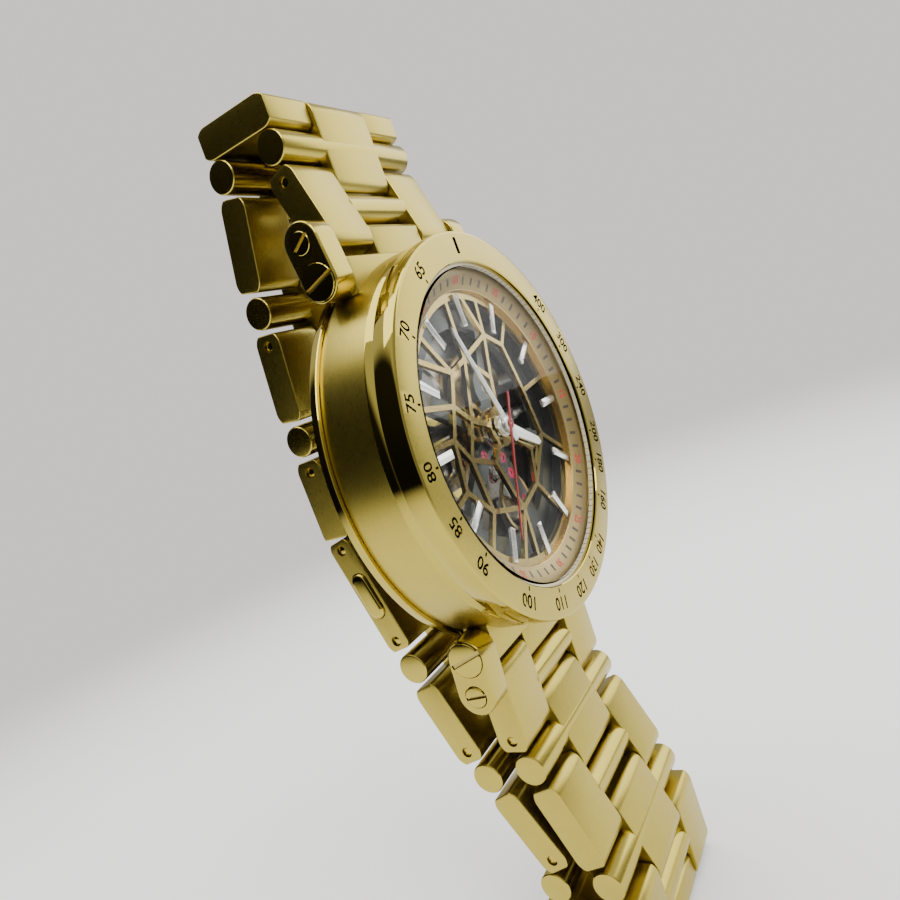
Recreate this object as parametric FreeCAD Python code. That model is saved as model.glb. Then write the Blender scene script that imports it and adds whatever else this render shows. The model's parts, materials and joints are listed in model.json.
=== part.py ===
import FreeCAD, Part
import math
import os

# Skeleton wristwatch on a link bracelet, closed on its folding clasp.
#
# The parts are drawn in the watch's own directions: x towards 3 o'clock, y towards 12 o'clock and
# z out of the dial, with z = 0 on top of the bezel. save() turns them into the part's frame:
# +X towards 3 o'clock, +Z towards 12 o'clock, dial facing -Y, origin on the middle of the case back.
# All sizes are in millimetres.

Vec = FreeCAD.Vector

# ---------------------------------------------------------------- driving dimensions
BEZEL_RADIUS = 22.5
BEZEL_HEIGHT = 2.5
BEZEL_BORE = 18.9
CASE_RADIUS = 22.4
CASE_BOTTOM = -9.4
CASE_HEIGHT = 11.0
CASE_CHAMFER = 1.0
BACK_RIM_RADIUS = 22.9
BACK_FLAT_RADIUS = 21.6
WINDOW_RADIUS = 13.5
WINDOW_INSIDE = -10.15
BACK_SCREW_CIRCLE = 20.9
BACK_SCREW_DEPTH = 1.2

CRYSTAL_RADIUS = 18.55
CRYSTAL_TOP = -0.25
CRYSTAL_BOTTOM = -2.3
DIAL_TOP = -4.0
DIAL_BOTTOM = -4.5
DIAL_RADIUS = 18.85
DIAL_RING_BORE = 15.4
FLANGE_BORE = 16.3
INDEX_INNER = 12.1
INDEX_OUTER = 16.0

# time shown by the hands, as angles clockwise from 12 o'clock
HOUR_ANGLE = 118.3
MINUTE_ANGLE = 339.5
SECONDS_ANGLE = 210.0

# movement levels, from the dial side to the back
PLATE_TOP = -5.7
PLATE_BOTTOM = -6.6
PLATE_RADIUS = 15.05
BRIDGE_TOP = -8.4
BRIDGE_BOTTOM = -9.0
BRIDGE_RADIUS = 14.6
ROTOR_RADIUS = 14.4
PIVOT_RADIUS = 0.2
JEWEL_RADIUS = 0.7
FIT = 0.05

# going train: teeth and modules
BARREL_TEETH = 72
CENTRE_PINION_TEETH = 12
BARREL_MODULE = 0.13
CENTRE_TEETH = 80
THIRD_PINION_TEETH = 10
CENTRE_MODULE = 0.085
THIRD_TEETH = 75
FOURTH_PINION_TEETH = 10
THIRD_MODULE = 0.09
FOURTH_TEETH = 80
ESCAPE_PINION_TEETH = 8
FOURTH_MODULE = 0.087
ESCAPE_TEETH = 15
CANNON_TEETH = 12
MINUTE_WHEEL_TEETH = 36
CANNON_MODULE = 0.125
MINUTE_PINION_TEETH = 10
HOUR_WHEEL_TEETH = 40
HOUR_MODULE = 0.12

# directions of the train's axes from the centre, in degrees from 3 o'clock
BARREL_DIRECTION = 60.0
THIRD_DIRECTION = 220.0
ESCAPE_DIRECTION = 285.0
MINUTE_WHEEL_DIRECTION = 150.0
PALLET_DISTANCE = 6.03
BALANCE_DISTANCE = 9.95
BALANCE_RADIUS = 3.6

# bracelet
PITCH = 7.5
LINK_HALF_WIDTH = 12.2
CENTRE_HALF_WIDTH = 5.1
COLUMN_GAP = 0.2
LINK_HALF_THICKNESS = 1.8
LINK_END = 1.35
BAR_RADIUS = 1.85
PIN_RADIUS = 0.6
BLIND_PIN_HALF = 11.4
OPEN_PIN_HALF = 11.95

# lugs: the big screw holds the lug bar, the small one carries the first link
LUG_INSIDE = 12.45
LUG_OUTSIDE = 15.7
LUG_END_RADIUS = 2.2
BIG_SCREW = (20.7, -7.8)
SMALL_SCREW = (24.9, -8.2)
BIG_SCREW_TIP = 9.0
HORN_END = 22.75
HORN_TOP = -5.9
HORN_BOTTOM = -9.3
SMALL_SHANK = 0.7

# direction of each link from the pin nearer the case, in degrees from 12 o'clock towards the viewer
UPPER_DIRECTIONS = (-14.5, 1.0, -88.0, -177.0, -166.0, -175.0, -173.0, -178.0, -180.0)
LOWER_FRONT_DIRECTIONS = (182.0, 167.0, 163.0, 163.5)
LOWER_BACK_DIRECTIONS = (345.0 + 30.0, 337.0, 338.0, 343.0, 348.0)

# folding clasp
COVER_HINGE = (-7.0, -21.45)
COVER_DIRECTION = 347.0
COVER_LENGTH = 12.2
COVER_HALF_THICKNESS = 1.6
COVER_TIP = 1.15
BLADE_HALF_WIDTH = 4.9
BLADE_THICKNESS = 0.5
OUTER_BLADE_OFFSET = 1.75
INNER_BLADE_OFFSET = 2.85
BLADE_HINGE_ALONG = 9.6
BLADE_HINGE_OFFSET = 2.55
BLADE_KNUCKLE = 0.75
CLASP_KNUCKLE = 0.95
BUTTON_LENGTH = 5.9
BUTTON_WIDTH = 2.3
BUTTON_TRAVEL = 0.5

# crown and stem
STEM_HEIGHT = -7.4
STEM_RADIUS = 0.6
CROWN_RADIUS = 3.1
CROWN_FLUTES = 24
CROWN_INSIDE = 23.1
CROWN_LENGTH = 3.7


# ---------------------------------------------------------------- small tools
def save(name, *solids):
    """Turns the solids into the part's frame and writes them as one node."""
    shape = solids[0] if len(solids) == 1 else Part.makeCompound(list(solids))
    shape = shape.copy()
    shape.rotate(Vec(0, 0, 0), Vec(1, 0, 0), 90)
    shape.translate(Vec(0, -CASE_HEIGHT, 0))
    shape.exportStep("parts/%s.step" % name)


def polar(radius, degrees):
    angle = math.radians(degrees)
    return radius * math.cos(angle), radius * math.sin(angle)


def clock(radius, degrees):
    """A point at a clockwise angle from 12 o'clock."""
    return polar(radius, 90.0 - degrees)


def disc(radius, low, high, at=(0.0, 0.0)):
    return Part.makeCylinder(radius, high - low, Vec(at[0], at[1], low))


def ring(inner, outer, low, high, at=(0.0, 0.0)):
    return disc(outer, low, high, at).cut(disc(inner, low, high, at))


def block(x0, x1, y0, y1, z0, z1):
    return Part.makeBox(x1 - x0, y1 - y0, z1 - z0, Vec(x0, y0, z0))


def rod(radius, x0, x1, y, z):
    """A cylinder lying along x."""
    return Part.makeCylinder(radius, x1 - x0, Vec(x0, y, z), Vec(1, 0, 0))


def revolved(points):
    """A ring whose section is a polygon of (radius, height) points."""
    corners = [Vec(r, 0, z) for r, z in points]
    face = Part.Face(Part.makePolygon(corners + corners[:1]))
    return face.revolve(Vec(0, 0, 0), Vec(0, 0, 1), 360)


def prism(points, low, high):
    """A flat plate with a polygon outline in x and y."""
    corners = [Vec(x, y, low) for x, y in points]
    return Part.Face(Part.makePolygon(corners + corners[:1])).extrude(Vec(0, 0, high - low))


def joined(shapes):
    shape = shapes[0].multiFuse(shapes[1:]) if len(shapes) > 1 else shapes[0]
    return shape.removeSplitter()


def turned(shape, degrees, at=(0.0, 0.0)):
    shape = shape.copy()
    shape.rotate(Vec(at[0], at[1], 0), Vec(0, 0, 1), degrees)
    return shape


def bar(start, end, width, low, high):
    """A straight flat bar with round ends, between two points."""
    length = math.dist(start, end)
    heading = math.degrees(math.atan2(end[1] - start[1], end[0] - start[0]))
    strip = block(start[0], start[0] + length, start[1] - width / 2, start[1] + width / 2, low, high)
    return joined([turned(strip, heading, start), disc(width / 2, low, high, start), disc(width / 2, low, high, end)])


def gear(teeth, module, low, high, bore, at, tooth_direction, spokes=0):
    """A spur gear with straight-sided teeth, one of them centred on tooth_direction."""
    pitch_radius = teeth * module / 2
    root_radius = pitch_radius - 1.15 * module
    tip_radius = pitch_radius + 0.8 * module
    step = 360.0 / teeth
    outline = []
    for tooth in range(teeth):
        middle = tooth_direction + tooth * step
        for radius, share in ((root_radius, -0.30), (tip_radius, -0.11), (tip_radius, 0.11), (root_radius, 0.30)):
            x, y = polar(radius, middle + share * step)
            outline.append((at[0] + x, at[1] + y))
    wheel = prism(outline, low, high).cut(disc(bore, low, high, at))
    if not spokes:
        return wheel
    hub_radius = 0.22 * pitch_radius + bore
    window = ring(hub_radius, root_radius - 0.35, low, high, at)
    arms = []
    for arm in range(spokes):
        end = polar(root_radius, arm * 360.0 / spokes)
        arms.append(bar(at, (at[0] + end[0], at[1] + end[1]), 0.14 * pitch_radius, low, high))
    return wheel.cut(window.cut(joined(arms)))


def spiral(inner, outer, turns, thickness, low, high, at):
    """A flat spiral spring of rectangular section."""
    steps = int(turns * 24)
    inside = []
    outside = []
    for step in range(steps + 1):
        radius = inner + (outer - inner) * step / steps
        angle = 360.0 * turns * step / steps
        x, y = polar(radius, angle)
        inside.append((at[0] + x, at[1] + y))
        x, y = polar(radius + thickness, angle)
        outside.append((at[0] + x, at[1] + y))
    return prism(inside + outside[::-1], low, high)


BARREL_AT = polar((BARREL_TEETH + CENTRE_PINION_TEETH) * BARREL_MODULE / 2, BARREL_DIRECTION)
THIRD_AT = polar((CENTRE_TEETH + THIRD_PINION_TEETH) * CENTRE_MODULE / 2, THIRD_DIRECTION)
ESCAPE_AT = polar((FOURTH_TEETH + ESCAPE_PINION_TEETH) * FOURTH_MODULE / 2, ESCAPE_DIRECTION)
PALLET_AT = polar(PALLET_DISTANCE, ESCAPE_DIRECTION)
BALANCE_AT = polar(BALANCE_DISTANCE, ESCAPE_DIRECTION)
MINUTE_WHEEL_AT = polar((CANNON_TEETH + MINUTE_WHEEL_TEETH) * CANNON_MODULE / 2, MINUTE_WHEEL_DIRECTION)
CENTRE = (0.0, 0.0)


# ---------------------------------------------------------------- case
def case_middle():
    top = -BEZEL_HEIGHT
    wall = revolved([
        (BEZEL_BORE, top), (20.4, top), (20.4, top - 0.6), (21.2, top - 0.6), (21.2, top),
        (CASE_RADIUS - 0.6, top), (CASE_RADIUS, top - CASE_CHAMFER), (CASE_RADIUS, CASE_BOTTOM),
        (BEZEL_BORE, CASE_BOTTOM)])
    horns = []
    for side in (1, -1):
        horn = block(-LUG_INSIDE, LUG_INSIDE, 17.0, HORN_END, HORN_BOTTOM, HORN_TOP)
        tongue = flat_link(-CENTRE_HALF_WIDTH, CENTRE_HALF_WIDTH, 0.0)
        tongue.rotate(Vec(0, 0, 0), Vec(1, 0, 0), 180)
        tongue.translate(Vec(0, SMALL_SCREW[0], SMALL_SCREW[1]))
        horn = horn.fuse(tongue).cut(disc(BEZEL_BORE, CASE_BOTTOM, 0.0))
        horns.append(horn if side == 1 else turned(horn, 180))
    tube = rod(1.5, 21.0, 23.7, 0, STEM_HEIGHT)
    body = joined([wall, tube] + horns)
    body = body.cut(rod(STEM_RADIUS + FIT, 18.0, 24.0, 0, STEM_HEIGHT))
    for x, y in back_screw_places():
        body = body.cut(disc(0.4, CASE_BOTTOM, CASE_BOTTOM + BACK_SCREW_DEPTH, (x, y)))
    for half_turn in (0, 180):
        for x0 in (BIG_SCREW_TIP, -LUG_INSIDE):
            hole = rod(1.0, x0, x0 + LUG_INSIDE - BIG_SCREW_TIP, *BIG_SCREW)
            body = body.cut(turned(hole, half_turn))
        small = rod(SMALL_SHANK, -CENTRE_HALF_WIDTH, CENTRE_HALF_WIDTH, *SMALL_SCREW)
        body = body.cut(turned(small, half_turn))
    return body.removeSplitter()


def back_screw_places():
    return [polar(BACK_SCREW_CIRCLE, 30 + 60 * n) for n in range(6)]


def bezel():
    return revolved([
        (BEZEL_BORE, 0), (BEZEL_RADIUS - 0.35, 0), (BEZEL_RADIUS, -0.35), (BEZEL_RADIUS, -BEZEL_HEIGHT),
        (21.2, -BEZEL_HEIGHT), (21.2, -BEZEL_HEIGHT - 0.6), (20.4, -BEZEL_HEIGHT - 0.6),
        (20.4, -BEZEL_HEIGHT), (BEZEL_BORE, -BEZEL_HEIGHT)])


def crystal():
    return revolved([
        (0, CRYSTAL_BOTTOM), (CRYSTAL_RADIUS, CRYSTAL_BOTTOM), (CRYSTAL_RADIUS, CRYSTAL_TOP - 0.2),
        (CRYSTAL_RADIUS - 0.2, CRYSTAL_TOP), (0, CRYSTAL_TOP)])


def gaskets():
    crystal_seal = ring(CRYSTAL_RADIUS, BEZEL_BORE, CRYSTAL_BOTTOM, -0.6)
    back_seal = ring(19.2, 19.8, CASE_BOTTOM - 0.4, CASE_BOTTOM)
    return crystal_seal, back_seal


def minute_flange():
    """The sloping ring between crystal and dial that carries the minute track."""
    return revolved([
        (18.85, -2.6), (18.2, -2.6), (FLANGE_BORE, -3.5), (FLANGE_BORE, DIAL_TOP), (18.85, DIAL_TOP)])


def case_back():
    shape = revolved([
        (WINDOW_RADIUS, -CASE_HEIGHT), (BACK_FLAT_RADIUS, -CASE_HEIGHT), (BACK_RIM_RADIUS, -10.2),
        (BACK_RIM_RADIUS, CASE_BOTTOM), (19.8, CASE_BOTTOM), (19.8, CASE_BOTTOM - 0.4),
        (19.2, CASE_BOTTOM - 0.4), (19.2, CASE_BOTTOM), (18.7, CASE_BOTTOM), (18.7, WINDOW_INSIDE),
        (WINDOW_RADIUS, WINDOW_INSIDE)])
    for x, y in back_screw_places():
        shape = shape.cut(disc(0.65, -CASE_HEIGHT, -10.6, (x, y)))
        shape = shape.cut(disc(0.4, -10.6, CASE_BOTTOM, (x, y)))
    return shape


def window():
    return disc(WINDOW_RADIUS, -CASE_HEIGHT, WINDOW_INSIDE)


def lug_bars():
    """Four capsule plates that hold the first links; each is screwed to the side of a horn."""
    bars = []
    for side in (1, -1):
        x0 = LUG_INSIDE if side == 1 else -LUG_OUTSIDE
        x1 = x0 + LUG_OUTSIDE - LUG_INSIDE
        recess = LUG_OUTSIDE - 0.4
        ends = [rod(LUG_END_RADIUS, x0, x1, *BIG_SCREW), rod(LUG_END_RADIUS, x0, x1, *SMALL_SCREW)]
        length = math.dist(BIG_SCREW, SMALL_SCREW)
        web = block(x0, x1, 0, length, -LUG_END_RADIUS, LUG_END_RADIUS)
        slope = math.degrees(math.atan2(SMALL_SCREW[1] - BIG_SCREW[1], SMALL_SCREW[0] - BIG_SCREW[0]))
        web.rotate(Vec(0, 0, 0), Vec(1, 0, 0), slope)
        web.translate(Vec(0, *BIG_SCREW))
        plate = joined([web] + ends)
        h0, h1 = (recess, LUG_OUTSIDE) if side == 1 else (-LUG_OUTSIDE, -recess)
        for place, shank, head in ((BIG_SCREW, 1.0, 1.95), (SMALL_SCREW, SMALL_SHANK, 1.2)):
            plate = plate.cut(rod(shank, x0, x1, *place)).cut(rod(head, h0, h1, *place))
        bars += [plate, turned(plate, 180)]
    return bars


def slotted_screw(place, head, shank, tip, slot):
    """A screw along x whose head stands a little proud of the lug bar on the 3 o'clock side."""
    recess = LUG_OUTSIDE - 0.4
    cap = rod(head, recess, LUG_OUTSIDE + 0.2, *place)
    groove = block(LUG_OUTSIDE - 0.15, LUG_OUTSIDE + 0.2, place[0] - head, place[0] + head,
                   place[1] - slot / 2, place[1] + slot / 2)
    return joined([cap.cut(groove), rod(shank, tip, recess, *place)])


def lug_screws():
    screws = []
    for place, head, shank, tip, slot in ((BIG_SCREW, 1.95, 1.0, BIG_SCREW_TIP, 0.5),
                                          (SMALL_SCREW, 1.2, SMALL_SHANK, 0.4, 0.4)):
        screw = slotted_screw(place, head, shank, tip, slot)
        mirrored = screw.mirror(Vec(0, 0, 0), Vec(1, 0, 0))
        screws += [screw, mirrored, turned(screw, 180), turned(mirrored, 180)]
    return screws


# ---------------------------------------------------------------- dial and hands
# the skeleton dial's web: knots (x, y), and the bars between them by number
WEB_KNOTS = (
    (-2.4, 8.7), (-6.1, 7.7), (-8.2, 4.3), (-5.6, 2.1), (-10.4, 1.0), (-8.5, -1.7), (-3.7, -3.4),
    (-2.4, -7.4), (-8.0, -7.8), (-1.3, -9.6), (3.7, -8.2), (1.9, 5.6), (4.0, 10.6), (7.6, 8.8),
    (8.9, 2.6), (9.6, -3.4), (5.4, -4.2), (-11.6, -4.4))
WEB_BARS = (
    (0, 1), (1, 2), (2, 3), (2, 4), (4, 5), (3, 5), (5, 6), (6, 7), (5, 8), (7, 9), (8, 9), (9, 10),
    (0, 11), (11, 12), (12, 13), (12, 0), (13, 14), (14, 15), (15, 16), (16, 10), (10, 15), (4, 17),
    (17, 8), (0, 3))
WEB_RIM_TIES = ((0, 97), (1, 140), (2, 160), (4, 175), (17, 200), (8, 226), (9, 262), (9, 250),
                (10, 300), (15, 335), (14, 12), (13, 48), (12, 72), (12, 84), (1, 128))
WEB_HUB_TIES = ((11, 70), (3, 160), (6, 225), (16, 322))
HUB_RING_RADIUS = 2.4
HUB_RING_BORE = 1.35


def skeleton_dial():
    low, high = DIAL_BOTTOM, DIAL_TOP
    pieces = [ring(DIAL_RING_BORE, DIAL_RADIUS, low, high), ring(HUB_RING_BORE, HUB_RING_RADIUS, low, high)]
    for a, b in WEB_BARS:
        pieces.append(bar(WEB_KNOTS[a], WEB_KNOTS[b], 0.6, low, high))
    for knot, direction in WEB_RIM_TIES:
        pieces.append(bar(WEB_KNOTS[knot], polar(DIAL_RING_BORE + 0.5, direction), 0.6, low, high))
    for knot, direction in WEB_HUB_TIES:
        pieces.append(bar(WEB_KNOTS[knot], polar(HUB_RING_RADIUS - 0.3, direction), 0.7, low, high))
    return joined(pieces)


def hour_indices():
    """Twelve roof-shaped batons that stand on the dial's ring."""
    batons = []
    for hour in range(12):
        half = 0.5
        section = [Vec(-half, INDEX_INNER, DIAL_TOP), Vec(half, INDEX_INNER, DIAL_TOP),
                   Vec(half, INDEX_INNER, DIAL_TOP + 0.35), Vec(0, INDEX_INNER, DIAL_TOP + 0.5),
                   Vec(-half, INDEX_INNER, DIAL_TOP + 0.35)]
        face = Part.Face(Part.makePolygon(section + section[:1]))
        baton = face.extrude(Vec(0, INDEX_OUTER - INDEX_INNER, 0))
        batons.append(turned(baton, -30.0 * hour))
    return batons


def hand(length, root_width, tip_width, tail, low, high, hub, bore, clockwise):
    outline = [(-root_width / 2, -tail), (root_width / 2, -tail), (root_width / 2, 0),
               (tip_width / 2, length * 0.93), (0, length), (-tip_width / 2, length * 0.93),
               (-root_width / 2, 0)]
    blade = prism(outline, low, high)
    shape = joined([blade, disc(hub, low, high)]).cut(disc(bore, low, high))
    return turned(shape, -clockwise)


def hour_hand():
    wheel = gear(HOUR_WHEEL_TEETH, HOUR_MODULE, -5.2, -5.0, 0.68, CENTRE, MINUTE_WHEEL_DIRECTION, spokes=5)
    tube = ring(0.68, 0.95, -5.0, -3.5)
    hand_blade = hand(8.6, 1.5, 1.0, 1.6, -3.75, -3.5, 1.3, 0.95, HOUR_ANGLE)
    return joined([wheel, tube]), hand_blade


def minute_hand():
    cannon = gear(CANNON_TEETH, CANNON_MODULE, -5.6, -5.3, 0.47, CENTRE, MINUTE_WHEEL_DIRECTION)
    tube = ring(0.47, 0.62, -5.3, -2.95)
    hand_blade = hand(13.2, 1.0, 0.7, 2.2, -3.15, -2.95, 1.0, 0.62, MINUTE_ANGLE)
    return joined([cannon, tube]), hand_blade


def seconds_hand():
    return hand(13.6, 0.36, 0.16, 4.0, -2.75, -2.6, 0.55, 0.15, SECONDS_ANGLE)


def minute_wheel():
    gap = MINUTE_WHEEL_DIRECTION + 180.0 + 180.0 / MINUTE_WHEEL_TEETH
    wheel = gear(MINUTE_WHEEL_TEETH, CANNON_MODULE, -5.55, -5.35, 0.2, MINUTE_WHEEL_AT, gap, spokes=4)
    gap = MINUTE_WHEEL_DIRECTION + 180.0 + 180.0 / MINUTE_PINION_TEETH
    pinion = gear(MINUTE_PINION_TEETH, HOUR_MODULE, -5.35, -4.9, 0.2, MINUTE_WHEEL_AT, gap)
    post = disc(0.2, PLATE_TOP - 0.3, -4.9, MINUTE_WHEEL_AT)
    return joined([wheel, pinion, post])


# ---------------------------------------------------------------- movement
def movement_ring():
    shape = ring(PLATE_RADIUS, BEZEL_BORE, CASE_BOTTOM, DIAL_BOTTOM)
    return shape.cut(rod(0.9, 14.0, 20.0, 0, STEM_HEIGHT))


def jewel_places():
    """Where the pivots of the train, fork and balance run in jewels."""
    return (THIRD_AT, ESCAPE_AT, PALLET_AT, BALANCE_AT)


def main_plate():
    low, high = PLATE_BOTTOM, PLATE_TOP
    pieces = [ring(12.6, PLATE_RADIUS, low, high), disc(3.0, low, high)]
    for direction in (BARREL_DIRECTION, THIRD_DIRECTION, ESCAPE_DIRECTION, MINUTE_WHEEL_DIRECTION, 340.0):
        pieces.append(bar(CENTRE, polar(13.6, direction), 2.3, low, high))
    pieces.append(disc(2.4, low, high, BARREL_AT))
    plate = joined(pieces).cut(disc(0.47, low, high))
    plate = plate.cut(disc(0.65, low, high, BARREL_AT)).cut(disc(0.2 + FIT, high - 0.35, high, MINUTE_WHEEL_AT))
    for place in jewel_places():
        plate = plate.cut(disc(JEWEL_RADIUS, low, high, place))
    return plate


def jewels():
    stones = []
    for place in jewel_places():
        stones.append(ring(PIVOT_RADIUS + FIT, JEWEL_RADIUS, PLATE_BOTTOM + 0.2, PLATE_TOP, place))
    for place in (CENTRE, THIRD_AT, ESCAPE_AT, PALLET_AT, BALANCE_AT):
        stones.append(ring(PIVOT_RADIUS + FIT, JEWEL_RADIUS, BRIDGE_BOTTOM + 0.1, BRIDGE_TOP, place))
    return stones


BARREL_BRIDGE_PILLARS = tuple(polar(13.6, a) for a in (20.0, 90.0, 160.0))
TRAIN_BRIDGE_PILLARS = (polar(13.6, 192.0), polar(13.6, 346.0))
COCK_PILLARS = ((0.6, -13.9), (6.0, -12.5))


def with_pillars(plate, places):
    posts = [disc(0.8, BRIDGE_TOP, PLATE_BOTTOM, place) for place in places]
    shape = joined([plate] + posts)
    for place in places:
        shape = shape.cut(disc(0.35, BRIDGE_BOTTOM, -7.9, place))
    return shape


def barrel_bridge():
    low, high = BRIDGE_BOTTOM, BRIDGE_TOP
    plate = disc(BRIDGE_RADIUS, low, high).common(block(-15, 15, 1.2, 15, low, high))
    plate = plate.cut(disc(3.4, low, high, (-5.6, 6.2))).cut(disc(1.9, low, high, (10.2, 5.6)))
    plate = plate.cut(disc(0.65, low, high, BARREL_AT))
    return with_pillars(plate, BARREL_BRIDGE_PILLARS)


def train_bridge():
    low, high = BRIDGE_BOTTOM, BRIDGE_TOP
    plate = disc(BRIDGE_RADIUS, low, high).common(block(-15, 15, -4.7, 0.9, low, high))
    plate = plate.cut(bar((-10.6, -1.9), (-6.2, -1.9), 2.8, low, high))
    plate = plate.cut(bar((5.6, -1.9), (10.6, -1.9), 2.8, low, high))
    finger = block(0.2, 2.9, -6.9, -4.7, low, high)
    post = disc(1.2, -9.75, low)
    shape = joined([plate, finger, post])
    shape = shape.cut(disc(PIVOT_RADIUS + FIT, low, low + 0.1))
    for place in (CENTRE, THIRD_AT, ESCAPE_AT, PALLET_AT):
        shape = shape.cut(disc(JEWEL_RADIUS, low + 0.1, high, place))
    return with_pillars(shape, TRAIN_BRIDGE_PILLARS)


def balance_cock():
    low, high = BRIDGE_BOTTOM, BRIDGE_TOP
    foot = bar(COCK_PILLARS[0], COCK_PILLARS[1], 1.7, low, high)
    arm = bar(BALANCE_AT, (3.0, -13.4), 2.4, low, high)
    shape = joined([foot, arm]).common(disc(PLATE_RADIUS, low, high))
    shape = shape.cut(disc(JEWEL_RADIUS, low + 0.1, high, BALANCE_AT))
    return with_pillars(shape, COCK_PILLARS)


def case_screws():
    screws = []
    for place in BARREL_BRIDGE_PILLARS + TRAIN_BRIDGE_PILLARS + COCK_PILLARS:
        head = disc(0.7, BRIDGE_BOTTOM - 0.2, BRIDGE_BOTTOM, place)
        slot = block(place[0] - 0.7, place[0] + 0.7, place[1] - 0.1, place[1] + 0.1,
                     BRIDGE_BOTTOM - 0.2, BRIDGE_BOTTOM - 0.1)
        screws.append(joined([head.cut(slot), disc(0.35, BRIDGE_BOTTOM, -7.9, place)]))
    for place in back_screw_places():
        head = disc(0.65, -10.95, -10.6, place)
        slot = block(place[0] - 0.65, place[0] + 0.65, place[1] - 0.1, place[1] + 0.1, -10.95, -10.8)
        screws.append(joined([head.cut(slot), disc(0.4, -10.6, CASE_BOTTOM + BACK_SCREW_DEPTH, place)]))
    return screws


def barrel():
    drum = ring(4.1, 4.3, -8.0, -7.1, BARREL_AT)
    floor = ring(0.65, 4.3, -8.0, -7.9, BARREL_AT)
    lid = ring(0.65, 4.1, -7.2, -7.1, BARREL_AT)
    tooth = BARREL_DIRECTION + 180.0
    teeth = gear(BARREL_TEETH, BARREL_MODULE, -7.5, -7.25, 4.3, BARREL_AT, tooth)
    mainspring = spiral(1.3, 3.8, 6.0, 0.16, -7.85, -7.25, BARREL_AT)
    return joined([drum, floor, lid, teeth]), mainspring


def ratchet_wheel():
    wheel = gear(48, 0.15, -9.25, -9.05, 0.6, BARREL_AT, 0.0)
    arbor = disc(0.6, -9.25, -6.0, BARREL_AT)
    return joined([wheel, arbor])


def center_wheel():
    tooth = THIRD_DIRECTION
    wheel = gear(CENTRE_TEETH, CENTRE_MODULE, -7.0, -6.85, 0.42, CENTRE, tooth, spokes=5)
    gap = BARREL_DIRECTION + 180.0 / CENTRE_PINION_TEETH
    pinion = gear(CENTRE_PINION_TEETH, BARREL_MODULE, -7.76, -7.05, 0.42, CENTRE, gap)
    arbor = ring(0.2, 0.42, -7.76, -3.3)
    return joined([wheel, pinion, arbor, ring(0.42, 0.5, -7.05, -7.0)])


def third_wheel():
    gap = THIRD_DIRECTION + 180.0 + 180.0 / THIRD_PINION_TEETH
    pinion = gear(THIRD_PINION_TEETH, CENTRE_MODULE, -7.2, -6.8, 0.2, THIRD_AT, gap)
    tooth = THIRD_DIRECTION + 180.0
    wheel = gear(THIRD_TEETH, THIRD_MODULE, -7.95, -7.8, 0.2, THIRD_AT, tooth, spokes=5)
    arbor = disc(PIVOT_RADIUS, -8.85, PLATE_TOP - 0.1, THIRD_AT)
    return joined([pinion, wheel, arbor])


def fourth_wheel():
    gap = THIRD_DIRECTION + 180.0 / FOURTH_PINION_TEETH
    pinion = gear(FOURTH_PINION_TEETH, THIRD_MODULE, -8.0, -7.8, 0.15, CENTRE, gap)
    wheel = gear(FOURTH_TEETH, FOURTH_MODULE, -8.25, -8.1, 0.15, CENTRE, ESCAPE_DIRECTION, spokes=5)
    collar = ring(0.15, 0.3, -8.1, -8.0)
    arbor = joined([disc(0.15, -8.3, -2.6), disc(PIVOT_RADIUS, -8.85, -8.1)])
    return joined([pinion, wheel, collar, arbor])


def escape_wheel():
    gap = ESCAPE_DIRECTION + 180.0 + 180.0 / ESCAPE_PINION_TEETH
    pinion = gear(ESCAPE_PINION_TEETH, FOURTH_MODULE, -8.35, -8.0, 0.2, ESCAPE_AT, gap)
    outline = []
    for tooth in range(ESCAPE_TEETH):
        start = tooth * 360.0 / ESCAPE_TEETH
        for radius, offset in ((1.35, 0.0), (1.78, 7.0), (1.9, 11.0), (1.78, 13.0), (1.35, 9.0)):
            x, y = polar(radius, start + offset)
            outline.append((ESCAPE_AT[0] + x, ESCAPE_AT[1] + y))
    wheel = prism(outline, -7.6, -7.45).cut(ring(0.5, 1.1, -7.6, -7.45, ESCAPE_AT))
    spokes = [bar(ESCAPE_AT, (ESCAPE_AT[0] + x, ESCAPE_AT[1] + y), 0.2, -7.6, -7.45)
              for x, y in (polar(1.2, 90.0 * n) for n in range(4))]
    arbor = disc(PIVOT_RADIUS, -8.85, PLATE_TOP - 0.1, ESCAPE_AT)
    return joined([pinion, wheel, arbor] + spokes)


def pallet_fork():
    """Anchor with two stones, clear of the escape wheel's tips, and a fork towards the balance."""
    outward = ESCAPE_DIRECTION
    def local(along, across):
        x, y = polar(along, outward)
        u, v = polar(across, outward + 90.0)
        return PALLET_AT[0] + x + u, PALLET_AT[1] + y + v
    pieces = [bar(local(0, -1.25), local(0, 1.25), 0.35, -7.6, -7.4)]
    pieces += [bar(local(0, side * 1.25), local(-0.45, side * 1.5), 0.3, -7.6, -7.4) for side in (1, -1)]
    pieces.append(bar(local(0, 0), local(2.7, 0), 0.25, -7.6, -7.4))
    pieces += [bar(local(2.7, 0), local(3.15, side * 0.28), 0.14, -7.6, -7.4) for side in (1, -1)]
    pieces.append(disc(PIVOT_RADIUS, -8.85, PLATE_TOP - 0.1, PALLET_AT))
    return joined(pieces)


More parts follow.
